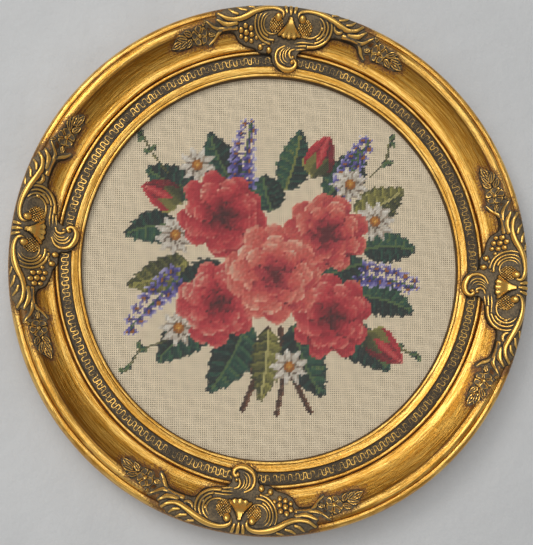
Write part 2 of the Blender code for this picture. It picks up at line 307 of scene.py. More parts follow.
# Wool yarns from dark to light
YARN_RAMPS = {
    "crimson": ["4e0b16", "6c0d1c", "8e1426", "ac1a2e", "c4293a", "d54048", "de5f5c", "e88a7a", "efb8a0"],
    "coral": ["6a1220", "96202e", "bc3340", "d2474c", "df6258", "e8806e", "f0a189", "f5c3a8", "f4dcc4"],
    "leaf": ["0d1f1f", "12302e", "19463c", "245a47", "3a6b48", "5f7b47", "8c9149", "b6b063"],
    "olive": ["2c331e", "474c27", "686832", "888540", "aaa452", "c8bf78"],
    "violet": ["1e1944", "302968", "4a418f", "6a61b0", "928bcb", "bfbae0", "e3e0ec"],
    "white": ["5b4a3c", "8c7b69", "b9aa96", "ddd3c2", "efe8da", "f8f4ea"],
    "gold": ["7a4a12", "b06a1c", "d9922a", "ecbe5a"],
    "stem": ["2f1a12", "54301c", "7a4a2c", "a0714a"],
}
GREEN_RAMPS = ("leaf", "olive", "stem")

# The chart counts stitches from the posy's middle, this many each way
CHART_HALF = 74
COUNTS = np.arange(-CHART_HALF, CHART_HALF + 1)
COLUMNS, ROWS = np.meshgrid(COUNTS, COUNTS)
BARE = -1

# Lights of the stage: place, size and colour
WINDOW_LIGHT = ((-0.6, -2.85, 0.65), (3.2, 3.0), (1.0, 0.99, 0.96))
KEY_LIGHT = ((-1.45, -2.2, 1.4), (1.0, 1.0), (1.0, 0.97, 0.92))


def linear(text):
    """Linear colour of a hexadecimal one."""
    shades = np.array([int(text[k:k + 2], 16) / 255 for k in (0, 2, 4)])
    return np.where(shades <= 0.04045, shades / 12.92, ((shades + 0.055) / 1.055) ** 2.4)


def place(reach, height, turn):
    """World points at these reaches, heights and turns, as rows."""
    radius = SIGHT_RADIUS + reach
    points = (OVAL * radius * np.sin(turn), WALL_Y - height + 0 * radius, radius * np.cos(turn))
    return np.stack(np.broadcast_arrays(*points), axis=-1)


def smoothed(points, parts):
    """Catmull-Rom rows through the given ones, whatever their number of columns."""
    rows = np.array(points, float)
    ends = np.vstack([rows[:1], rows, rows[-1:]])
    curve = []
    for a, b, c, d in zip(ends, ends[1:], ends[2:], ends[3:]):
        for share in np.arange(parts) / parts:
            bend = (2 * a - 5 * b + 4 * c - d) * share ** 2 + (3 * b - a - 3 * c + d) * share ** 3
            curve.append(0.5 * (2 * b + (c - a) * share + bend))
    return np.array(curve + [rows[-1]])


def smoothstep(low, high, value):
    """A soft step from 0 at low to 1 at high; low may be the larger of the two."""
    share = np.clip((value - low) / (high - low), 0, 1)
    return share * share * (3 - 2 * share)


def coordinates(mesh):
    flat = np.empty(len(mesh.vertices) * 3)
    mesh.vertices.foreach_get("co", flat)
    return flat.reshape(-1, 3)


def set_coordinates(mesh, points):
    mesh.vertices.foreach_set("co", np.ascontiguousarray(points, dtype=np.float32).ravel())
    mesh.update()


def set_values(mesh, name, values):
    """Stores one number for each point, for a material to read."""
    layer = mesh.attributes.new(name, "FLOAT", "POINT")
    layer.data.foreach_set("value", np.ascontiguousarray(values, dtype=np.float32).ravel())


def mesh_from(bm, name):
    """A new mesh from a finished bmesh, which is freed."""
    mesh = bpy.data.meshes.new(name)
    bm.to_mesh(mesh)
    bm.free()
    return mesh


def new_object(name, data):
    obj = bpy.data.objects.new(name, data)
    bpy.context.scene.collection.objects.link(obj)
    return obj


def applied_mesh(obj):
    """The mesh of an object with its modifiers applied; the object itself is removed."""
    mesh = bpy.data.meshes.new_from_object(obj.evaluated_get(bpy.context.evaluated_depsgraph_get()))
    bpy.data.objects.remove(obj)
    return mesh


def grid_mesh(name, columns, rows):
    """A flat grid, with the whole-number column and row of each of its points."""
    bm = bmesh.new()
    bmesh.ops.create_grid(bm, x_segments=columns - 1, y_segments=rows - 1, size=0.5)
    mesh = mesh_from(bm, name)
    points = coordinates(mesh)
    across = np.rint((points[:, 0] + 0.5) * (columns - 1)).astype(int)
    up = np.rint((points[:, 1] + 0.5) * (rows - 1)).astype(int)
    return mesh, across, up


def drop_faces(mesh, keep):
    """Deletes the faces that have a vertex outside the kept ones."""
    bm = bmesh.new()
    bm.from_mesh(mesh)
    doomed = [vert for vert, kept in zip(bm.verts, keep) if not kept]
    bmesh.ops.delete(bm, geom=doomed, context="VERTS")
    loose = [vert for vert in bm.verts if not vert.link_faces]
    bmesh.ops.delete(bm, geom=loose, context="VERTS")
    bm.to_mesh(mesh)
    bm.free()


def face_outward(mesh, direction):
    """Turns an open sheet's faces if they point away from the given direction."""
    total = Vector((0, 0, 0))
    for polygon in mesh.polygons:
        total += polygon.normal * polygon.area
    if total.dot(Vector(direction)) < 0:
        mesh.flip_normals()


def finish_piece(name, mesh, materials, replaced=(), sharp_deg=None):
    """Links a finished mesh as a piece that rides on the panel's one body."""
    mesh.name = name
    for material in materials:
        mesh.materials.append(material)
    mesh.shade_smooth()
    if sharp_deg is not None:
        mesh.set_sharp_from_angle(angle=math.radians(sharp_deg))
    obj = new_object(name, mesh)
    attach(obj, BODY)
    if replaced:
        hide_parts(*replaced)
    return obj


# Shader helpers

def add_node(tree, kind, **settings):
    item = tree.nodes.new(kind)
    for key, value in settings.items():
        setattr(item, key, value)
    return item


def feed(tree, socket, value):
    """Links an output to the socket, or sets the socket's own value."""
    if isinstance(value, bpy.types.NodeSocket):
        tree.links.new(value, socket)
    elif hasattr(value, "__len__") and len(value) == 3 and socket.type == "RGBA":
        socket.default_value = (*value, 1)
    else:
        socket.default_value = value


def maths(tree, operation, *values, clamp=False):
    item = add_node(tree, "ShaderNodeMath", operation=operation, use_clamp=clamp)
    for socket, value in zip(item.inputs, values):
        feed(tree, socket, value)
    return item.outputs[0]


def swing(tree, value, amount):
    """A noise value as a swing to both sides of zero."""
    return maths(tree, "MULTIPLY", maths(tree, "SUBTRACT", value, 0.5), amount)


def weighted(tree, first, first_weight, second, second_weight, clamp=False):
    """The sum of two values, each times its weight."""
    parts = [maths(tree, "MULTIPLY", first, first_weight), maths(tree, "MULTIPLY", second, second_weight)]
    return maths(tree, "ADD", *parts, clamp=clamp)


def mixed(tree, share, first, second, blend="MIX"):
    item = add_node(tree, "ShaderNodeMix", data_type="RGBA", blend_type=blend)
    feed(tree, item.inputs[0], share)
    feed(tree, item.inputs[6], first)
    feed(tree, item.inputs[7], second)
    return item.outputs[2]


def rise_between(tree, value, low, high, top=1.0):
    item = add_node(tree, "ShaderNodeMapRange", interpolation_type="SMOOTHSTEP")
    feed(tree, item.inputs["Value"], value)
    feed(tree, item.inputs["From Min"], low)
    feed(tree, item.inputs["From Max"], high)
    feed(tree, item.inputs["To Max"], top)
    return item.outputs[0]


def noise(tree, vector, scale, detail=2.0, roughness=0.5):
    item = add_node(tree, "ShaderNodeTexNoise")
    feed(tree, item.inputs["Vector"], vector)
    feed(tree, item.inputs["Scale"], scale)
    feed(tree, item.inputs["Detail"], detail)
    feed(tree, item.inputs["Roughness"], roughness)
    return item.outputs[0]


def position(tree):
    return add_node(tree, "ShaderNodeTexCoord").outputs["Object"]


def value_of(tree, name):
    return add_node(tree, "ShaderNodeAttribute", attribute_name=name).outputs["Fac"]


def bumped(tree, height, strength, distance):
    item = add_node(tree, "ShaderNodeBump")
    feed(tree, item.inputs["Height"], height)
    item.inputs["Strength"].default_value = strength
    item.inputs["Distance"].default_value = distance
    return item.outputs[0]


def new_material(name):
    material = bpy.data.materials.new(name)
    material.use_nodes = True
    tree = material.node_tree
    return material, tree, tree.nodes["Principled BSDF"]


def new_group(name, inputs, outputs):
    """An empty shader group with float sockets; returns it with its input and output nodes."""
    group = bpy.data.node_groups.new(name, "ShaderNodeTree")
    for label, default in inputs:
        socket = group.interface.new_socket(label, in_out="INPUT", socket_type="NodeSocketFloat")
        socket.default_value = default
    for label in outputs:
        group.interface.new_socket(label, in_out="OUTPUT", socket_type="NodeSocketFloat")
    return group, group.nodes.new("NodeGroupInput"), group.nodes.new("NodeGroupOutput")


def turned_streaks_group():
    """Streaks that run round the ring, as a burnished or brushed moulding has."""
    inputs = [("Along", 9), ("Across", 700), ("Oval", 1)]
    group, given, result = new_group("Turned streaks", inputs, ["Streaks"])
    axes = add_node(group, "ShaderNodeSeparateXYZ")
    feed(group, axes.inputs[0], position(group))
    across = maths(group, "DIVIDE", axes.outputs[0], given.outputs["Oval"])
    squares = [maths(group, "POWER", side, 2.0) for side in (across, axes.outputs[2])]
    radius = maths(group, "SQRT", maths(group, "ADD", *squares))
    level = maths(group, "SUBTRACT", radius, axes.outputs[1])
    spot = add_node(group, "ShaderNodeCombineXYZ")
    for socket, side in ((spot.inputs[0], across), (spot.inputs[1], axes.outputs[2])):
        heading = maths(group, "DIVIDE", side, radius)
        feed(group, socket, maths(group, "MULTIPLY", heading, given.outputs["Along"]))
    feed(group, spot.inputs[2], maths(group, "MULTIPLY", level, given.outputs["Across"]))
    feed(group, result.inputs["Streaks"], noise(group, spot.outputs[0], 1.0, 4.0, 0.6))


def specks_group():
    """Scattered specks, from 0 to 1."""
    group, given, result = new_group("Specks", [("Scale", 400), ("Level", 0.65)], ["Specks"])
    grains = noise(group, position(group), given.outputs["Scale"], 3.0, 0.65)
    top = maths(group, "ADD", given.outputs["Level"], 0.06)
    feed(group, result.inputs["Specks"], rise_between(group, grains, given.outputs["Level"], top))


def use_group(tree, group, **values):
    item = add_node(tree, "ShaderNodeGroup", node_tree=group)
    for label, value in values.items():
        feed(tree, item.inputs[label], value)
    return item.outputs[0]


def gilt_material(finish):
    """Burnished leaf over red bole, with dark glazing in the grooves, painted shade on the lip's inner wall,
    brown toning and painted shade in the cove, and toning beside the castings.
    """
    material, tree, shader = new_material("gilt_leaf")
    streaks = bpy.data.node_groups["Turned streaks"]
    specks = bpy.data.node_groups["Specks"]
    glaze_and_shade, halo = value_of(tree, "glaze_and_shade"), value_of(tree, "toning")
    fine = use_group(tree, streaks, Along=11.0, Across=1500.0, Oval=OVAL)
    broad = use_group(tree, streaks, Along=4.5, Across=420.0, Oval=OVAL)
    clouds = noise(tree, position(tree), 45.0, 3.0, 0.6)
    sheen = weighted(tree, fine, 0.5, broad, 0.5)
    leaf = mixed(tree, rise_between(tree, sheen, 0.45, 0.56), finish.leaf_deep, finish.leaf_bright)

    worn = maths(tree, "ADD", value_of(tree, "bole"), swing(tree, fine, 2.4))
    worn = maths(tree, "ADD", worn, swing(tree, clouds, 1.6))
    bare = rise_between(tree, worn, 0.62, 1.15, 0.8)
    leaf = mixed(tree, bare, leaf, finish.bole)
    # Brown multiplied over the leaf where the glazing column is high: partly real toning, partly painted
    # shade in the cove and on the lip's inner wall
    leaf = mixed(tree, rise_between(tree, glaze_and_shade, 0.05, COVE_TONING_AND_SHADE), leaf, finish.toning_veil_and_shade, "MULTIPLY")

    # Dark glazing colour where the column is high: real glazing in the grooves, painted shade on the lip's
    # inner wall and partly in the cove
    dark = rise_between(tree, maths(tree, "ADD", glaze_and_shade, swing(tree, fine, 1.1)), 0.3, 0.95, 0.92)
    mottle = noise(tree, position(tree), 620.0, 4.0, 0.7)
    smudge = rise_between(tree, maths(tree, "ADD", halo, swing(tree, mottle, 2.6)), 0.35, 0.95)
    smudged = maths(tree, "MULTIPLY", smudge, rise_between(tree, halo, 0.0, 0.3, 0.85))
    leaf = mixed(tree, maths(tree, "MULTIPLY", smudged, 0.7), leaf, finish.bole)
    dark = maths(tree, "MAXIMUM", dark, maths(tree, "MULTIPLY", smudged, 0.8))
    flecks = use_group(tree, specks, Scale=520.0, Level=0.69)
    dark = maths(tree, "MAXIMUM", dark, maths(tree, "MULTIPLY", flecks, 0.5))
    feed(tree, shader.inputs["Base Color"], mixed(tree, dark, leaf, finish.glaze_and_shade))

    covered = weighted(tree, bare, 0.55, dark, 0.9, clamp=True)
    feed(tree, shader.inputs["Metallic"], maths(tree, "SUBTRACT", 1.0, covered, clamp=True))
    rough = maths(tree, "ADD", finish.leaf_roughness, maths(tree, "MULTIPLY", fine, 0.16))
    feed(tree, shader.inputs["Roughness"], maths(tree, "ADD", rough, maths(tree, "MULTIPLY", covered, 0.25)))
    height = maths(tree, "ADD", fine, maths(tree, "MULTIPLY", broad, 1.6))
    feed(tree, shader.inputs["Normal"], bumped(tree, height, 0.6, 0.0007))
    return material


def patina_material(finish):
    """Taupe wash over the castings, dark in the hollows and rubbed to gold on the ridges."""
    material, tree, shader = new_material("antique_patina")
    where = position(tree)
    clouds = noise(tree, where, 90.0, 3.0, 0.6)
    grains = noise(tree, where, 1500.0, 3.0, 0.7)
    mottle = noise(tree, where, 640.0, 4.0, 0.7)
    grit = weighted(tree, clouds, 0.3, mottle, 0.7)
    ground = mixed(tree, rise_between(tree, grit, 0.42, 0.60), finish.wash, finish.wash_warm)
    hollow = maths(tree, "ADD", value_of(tree, "recess"), swing(tree, grains, 0.5))
    ground = mixed(tree, rise_between(tree, hollow, 0.15, 0.9, 0.92), ground, finish.hollow)
    wear = maths(tree, "ADD", swing(tree, grains, 0.7), swing(tree, clouds, 1.1))
    rub = rise_between(tree, maths(tree, "ADD", value_of(tree, "rub"), wear), 0.40, 0.74)
    feed(tree, shader.inputs["Base Color"], mixed(tree, rub, ground, finish.rubbed))
    feed(tree, shader.inputs["Metallic"], maths(tree, "ADD", 0.12, maths(tree, "MULTIPLY", rub, 0.8)))
    feed(tree, shader.inputs["Roughness"], maths(tree, "SUBTRACT", 0.70, maths(tree, "MULTIPLY", rub, 0.42)))
    feed(tree, shader.inputs["Normal"], bumped(tree, grains, 0.35, 0.0002))
    return material


def bare_wood_material():
    """Plain sawn pine, as the back of the moulding."""
    material, tree, shader = new_material("bare_wood")
    grain = use_group(tree, bpy.data.node_groups["Turned streaks"], Along=7.0, Across=420.0, Oval=OVAL)
    colour = mixed(tree, rise_between(tree, grain, 0.35, 0.68), (0.44, 0.29, 0.15), (0.30, 0.175, 0.08))
    feed(tree, shader.inputs["Base Color"], colour)
    feed(tree, shader.inputs["Roughness"], 0.72)
    feed(tree, shader.inputs["Normal"], bumped(tree, grain, 0.25, 0.0004))
    return material


def thread_material(name, colour, stretch):
    """Unbleached cotton thread, with slubs along it and a little fuzz."""
    material, tree, shader = new_material(name)
    mapping = add_node(tree, "ShaderNodeMapping")
    feed(tree, mapping.inputs["Vector"], position(tree))
    mapping.inputs["Scale"].default_value = stretch
    slub = noise(tree, mapping.outputs[0], 1.0, 3.0, 0.6)
    fuzz = noise(tree, position(tree), 3800.0, 2.0, 0.6)
    shade = weighted(tree, slub, 0.75, fuzz, 0.25)
    light = tuple(min(1.0, 1.10 * part) for part in colour)
    dull = tuple(0.86 * part for part in colour)
    feed(tree, shader.inputs["Base Color"], mixed(tree, rise_between(tree, shade, 0.34, 0.66), dull, light))
    feed(tree, shader.inputs["Roughness"], 0.88)
    feed(tree, shader.inputs["Sheen Weight"], 0.15)
    feed(tree, shader.inputs["Sheen Roughness"], 0.5)
    feed(tree, shader.inputs["Normal"], bumped(tree, fuzz, 0.3, 0.0002))
    return material


def ground_cloth_hole_shade_material(colour, pitch):
    """The canvas seen from behind and in the holes of its weave: a plain over-and-under check, darkened
    between its threads as painted shade in the holes.
    """
    material, tree, shader = new_material("canvas_ground")
    axes = add_node(tree, "ShaderNodeSeparateXYZ")
    feed(tree, axes.inputs[0], position(tree))
    waves = []
    for side in (0, 2):
        turn = maths(tree, "MULTIPLY", axes.outputs[side], math.pi / pitch)
        waves.append(maths(tree, "ABSOLUTE", maths(tree, "COSINE", turn)))
    weave = maths(tree, "MAXIMUM", waves[0], waves[1])
    shade = rise_between(tree, weave, 0.45, 0.9)
    # The dark part of the check is painted shade in the holes between the threads
    dull = tuple(0.22 * part for part in colour)
    feed(tree, shader.inputs["Base Color"], mixed(tree, shade, dull, colour))
    feed(tree, shader.inputs["Roughness"], 0.92)
    feed(tree, shader.inputs["Normal"], bumped(tree, weave, 0.5, 0.0005))
    return material


def wool_material():
    """Tapestry wool in each stitch's own yarn colour, with the twist of its ply, darker in the twist's
    grooves as painted shade and paler on its crowns as painted highlight.
    """
    material, tree, shader = new_material("tapestry_wool")
    yarn = add_node(tree, "ShaderNodeAttribute", attribute_name="yarn").outputs["Color"]
    spot = add_node(tree, "ShaderNodeAttribute", attribute_name="ply").outputs["Vector"]
    axes = add_node(tree, "ShaderNodeSeparateXYZ")
    feed(tree, axes.inputs[0], spot)
    ply = maths(tree, "SINE", weighted(tree, axes.outputs[0], 15.0, axes.outputs[1], 9.0))
    fuzz = noise(tree, position(tree), 4200.0, 2.0, 0.65)
    # Darker where the ply's twist and the fuzz sink and paler where they rise: painted shade and highlight,
    # with the fuzz also giving a random tone
    shade = weighted(tree, ply, 0.10, fuzz, 0.5)
    dull = mixed(tree, 1.0, yarn, (0.52, 0.50, 0.50), "MULTIPLY")
    light = mixed(tree, 0.10, yarn, (1.0, 0.96, 0.90))
    feed(tree, shader.inputs["Base Color"], mixed(tree, rise_between(tree, shade, 0.08, 0.42), dull, light))
    feed(tree, shader.inputs["Roughness"], 0.85)
    feed(tree, shader.inputs["Sheen Weight"], 0.25)
    feed(tree, shader.inputs["Sheen Roughness"], 0.45)
    height = maths(tree, "ADD", maths(tree, "MULTIPLY", ply, 0.35), fuzz)
    feed(tree, shader.inputs["Normal"], bumped(tree, height, 0.4, 0.0002))
    return material


def wall_material():
    """Pale plaster that shows only its front, so that views from behind see the panel's back."""
    material, tree, shader = new_material("plaster_wall")
    mottle = noise(tree, position(tree), 9.0, 4.0, 0.6)
    colour = mixed(tree, rise_between(tree, mottle, 0.35, 0.65), (0.575, 0.585, 0.595), (0.605, 0.615, 0.625))
    feed(tree, shader.inputs["Base Color"], colour)
    feed(tree, shader.inputs["Roughness"], 0.9)
    trowel = noise(tree, position(tree), 38.0, 5.0, 0.62)
    feed(tree, shader.inputs["Normal"], bumped(tree, trowel, 0.35, 0.006))
    rays = add_node(tree, "ShaderNodeLightPath")
    seen = maths(tree, "MAXIMUM", rays.outputs["Is Camera Ray"], rays.outputs["Is Glossy Ray"])
    front = maths(tree, "SUBTRACT", 1.0, add_node(tree, "ShaderNodeNewGeometry").outputs["Backfacing"])
    clear = add_node(tree, "ShaderNodeBsdfTransparent")
    shown = add_node(tree, "ShaderNodeMixShader")
    feed(tree, shown.inputs[0], maths(tree, "MULTIPLY", seen, front))
    feed(tree, shown.inputs[1], clear.outputs[0])
    feed(tree, shown.inputs[2], shader.outputs[0])
    feed(tree, tree.nodes["Material Output"].inputs["Surface"], shown.outputs[0])
    return material


def floor_material():
    material, tree, shader = new_material("pale_floor")
    mottle = noise(tree, position(tree), 5.0, 3.0, 0.5)
    feed(tree, shader.inputs["Base Color"], mixed(tree, mottle, (0.52, 0.51, 0.50), (0.60, 0.59, 0.58)))
    feed(tree, shader.inputs["Roughness"], 0.8)
    return material


# Moulding

def cove_run():
    """The hollow arc of the moulding, as rows of its section."""
    slope = np.radians(np.linspace(COVE_FIRST_DEG, COVE_LAST_DEG, COVE_PARTS + 1))
    reach = COVE_START[0] + COVE_RADIUS * (np.sin(slope) - math.sin(slope[0]))
    height = COVE_START[1] + COVE_RADIUS * (math.cos(slope[0]) - np.cos(slope))
    # Dark glazing that fades in from the cove's start: partly real brown toning, partly painted shade in the
    # hollow
    glaze_and_shade = COVE_TONING_AND_SHADE * smoothstep(COVE_START[0], COVE_START[0] + COVE_TONING_AND_SHADE_WIDTH, reach)
    return np.stack([reach, height, glaze_and_shade, COVE_BOLE + 0 * slope], axis=1)


def section():
    """The whole closed section of the moulding as rows of (reach, height, glazing and painted shade, bole),
    in millimetres.
    """
    runs = [smoothed(run, RUN_PARTS) for run in (LIP, LIP_SLOPE, FRIEZE, BEAD)]
    runs += [np.array(GROOVE, float), smoothed(COVE_LIP, RUN_PARTS), cove_run()]
    runs += [smoothed(ROLL, RUN_PARTS), smoothed(OUTER_BEAD, RUN_PARTS), np.array(BACK, float)]
    return np.vstack(runs)


SECTION = section()
SHOW_FACE = SECTION[: len(SECTION) - len(BACK)]


def moulded_level(reach):
    """Height of the moulding's show face at these reaches, in millimetres."""
    order = np.argsort(SHOW_FACE[:, 0], kind="stable")
    return np.interp(reach, SHOW_FACE[order, 0], SHOW_FACE[order, 1])


def fitted(points):
    """Drawn points of the ornament, scaled to the width of the moulding."""
    rows = np.array(points, float)
    rows[:, 1] = FACE_START + FACE_SCALE * rows[:, 1]
    return rows


def outline_distance(along, reach):
    """Signed distance into the cartouche's outline, in millimetres."""
    curve = smoothed(fitted(OUTLINE + OUTLINE[:1]), 3)
    nearest = np.full(along.shape, np.inf)
    inside = np.zeros(along.shape, bool)
    for (x0, y0), (x1, y1) in zip(curve, curve[1:]):
        dx, dy = x1 - x0, y1 - y0
        if dx == 0 and dy == 0:
            continue
        share = np.clip(((along - x0) * dx + (reach - y0) * dy) / (dx * dx + dy * dy), 0, 1)
        nearest = np.minimum(nearest, np.hypot(along - x0 - share * dx, reach - y0 - share * dy))
        if y0 != y1:
            crosses = ((y0 > reach) != (y1 > reach)) & (along < x0 + dx * (reach - y0) / dy)
            inside ^= crosses
    return np.where(inside, nearest, -nearest)


def spin_section(name, rows, steps):
    """Spins a closed section round the panel's axis and draws the ring in to its oval."""
    bm = bmesh.new()
    corners = [bm.verts.new((SIGHT_RADIUS + reach * MM, WALL_Y - height * MM, 0)) for reach, height in rows]
    edges = [bm.edges.new((corners[k - 1], corners[k])) for k in range(len(corners))]
    bmesh.ops.spin(
        bm, geom=corners + edges, cent=(0, 0, 0), axis=(0, 1, 0), angle=math.tau, steps=steps, use_merge=True
    )
    bmesh.ops.remove_doubles(bm, verts=bm.verts, dist=0.000001)
    bmesh.ops.scale(bm, vec=(OVAL, 1, 1), verts=bm.verts)
    bmesh.ops.recalc_face_normals(bm, faces=bm.faces)
    return mesh_from(bm, name)


def ring_terms(points):
    """Reach and height in millimetres, and turn, of points on the ring."""
    radius = np.hypot(points[:, 0] / OVAL, points[:, 2])
    turn = np.arctan2(points[:, 0] / OVAL, points[:, 2])
    return (radius - SIGHT_RADIUS) / MM, (WALL_Y - points[:, 1]) / MM, turn


def toning(reach, height, turn):
    """How near each point of the moulding lies to a casting, from 0 to 1."""
    near = np.zeros(len(reach))
    for degrees in CARTOUCHES.values():
        offset = np.mod(turn - math.radians(degrees) + math.pi, math.tau) - math.pi
        close = np.abs(offset) < (FIELD_HALF + 20) * MM / ARC_RADIUS
        distance = outline_distance(offset[close] * ARC_RADIUS / MM, reach[close])
        near[close] = np.maximum(near[close], np.exp(-np.maximum(0, -distance) / TONING_FADE))
    low, high = TONING_HEIGHTS
    return near * smoothstep(low, high, height + TONING_LIFT * (reach < TONING_ROLL_REACH))


def make_moulding(finish, gilt, patina, wood):
    """The turned ring, with the glazing, painted shade and wear of its section kept on its points and a
    finish for each part.
    """
    mesh = spin_section("moulding_turned", SECTION[:, :2], finish.ring_steps)
    reach, height, turn = ring_terms(coordinates(mesh))
    gaps = np.abs(reach[:, None] - SECTION[None, :, 0]) + np.abs(height[:, None] - SECTION[None, :, 1])
    nearest = np.argmin(gaps, axis=1)
    # Dark glazing of the grooves, together with the painted shade of the lip's inner wall and the cove
    set_values(mesh, "glaze_and_shade", SECTION[nearest, 2])
    set_values(mesh, "bole", SECTION[nearest, 3])
    set_values(mesh, "toning", toning(reach, height, turn))
    low, high = FRIEZE_EDGES
    set_values(mesh, "recess", np.where((reach > low - 0.2) & (reach < high + 0.2), SECTION[nearest, 2], 0))
    set_values(mesh, "rub", np.zeros(len(reach)))
    finishes = [gilt, patina, wood]
    finish_piece("moulding_turned", mesh, finishes, ["moulding"], 38)
    for polygon in mesh.polygons:
        terms = ring_terms(np.array([polygon.center[:]]))
        middle_reach, middle_height = terms[0][0], terms[1][0]
        in_rabbet = middle_height < RABBET_HEIGHT and middle_reach < RABBET_REACH
        if low < middle_reach < high and middle_height > FRIEZE_LOWEST:
            polygon.material_index = finishes.index(patina)
        elif middle_height < BACK_HEIGHT or in_rabbet:
            polygon.material_index = finishes.index(wood)


def ribbon(bm, path, half_width, rise, end_share):
    """A raised ribbon along a path of (share, reach), with ends that stand at a share of its rise."""
    points = np.array(path, float)
    heading = np.gradient(points, axis=0)
    heading[:, 0] *= KEY_SPAN
    heading /= np.hypot(heading[:, 0], heading[:, 1])[:, None]
    last, last_rail = len(points) - 1, len(KEY_RAILS) - 1
    made = bmesh.ops.create_grid(bm, x_segments=last, y_segments=last_rail, size=0.5)
    for vert in made["verts"]:
        k = round((vert.co.x + 0.5) * last)
        side, up = KEY_RAILS[round((vert.co.y + 0.5) * last_rail)]
        offset = side * half_width
        end = 1 if 0 < k < last else end_share
        vert.co = (
            points[k, 0] - heading[k, 1] * offset / KEY_SPAN,
            points[k, 1] + heading[k, 0] * offset,
            KEY_BASE + up * rise * end,
        )


def make_frieze(finish, patina):
    """The running key in relief: one repeat, arrayed round the frieze."""
    bm = bmesh.new()
    half_width, rise = finish.key_half_width / MM, finish.key_rise / MM
    ribbon(bm, KEY_PATH, half_width, rise, 1)
    for bar in KEY_BARS:
        ribbon(bm, bar, half_width, BAR_RISE * rise, BAR_END)
    repeat = new_object("frieze_repeat", mesh_from(bm, "frieze_repeat"))
    array = repeat.modifiers.new("repeats", "ARRAY")
    array.count = finish.key_repeats
    array.use_relative_offset = False
    array.use_constant_offset = True
    array.constant_offset_displace = (1, 0, 0)
    whole = applied_mesh(repeat)
    terms = coordinates(whole)
    rub = smoothstep(*KEY_RUB_HEIGHTS, terms[:, 2])
    turn = -terms[:, 0] * math.tau / finish.key_repeats
    set_coordinates(whole, place(terms[:, 1] * MM, terms[:, 2] * MM, turn))
    face_outward(whole, (0, -1, 0))
    set_values(whole, "rub", KEY_RUB * rub)
    set_values(whole, "recess", KEY_RECESS * (1 - rub))
    finish_piece("frieze_key", whole, [patina], sharp_deg=50)


# Cartouches

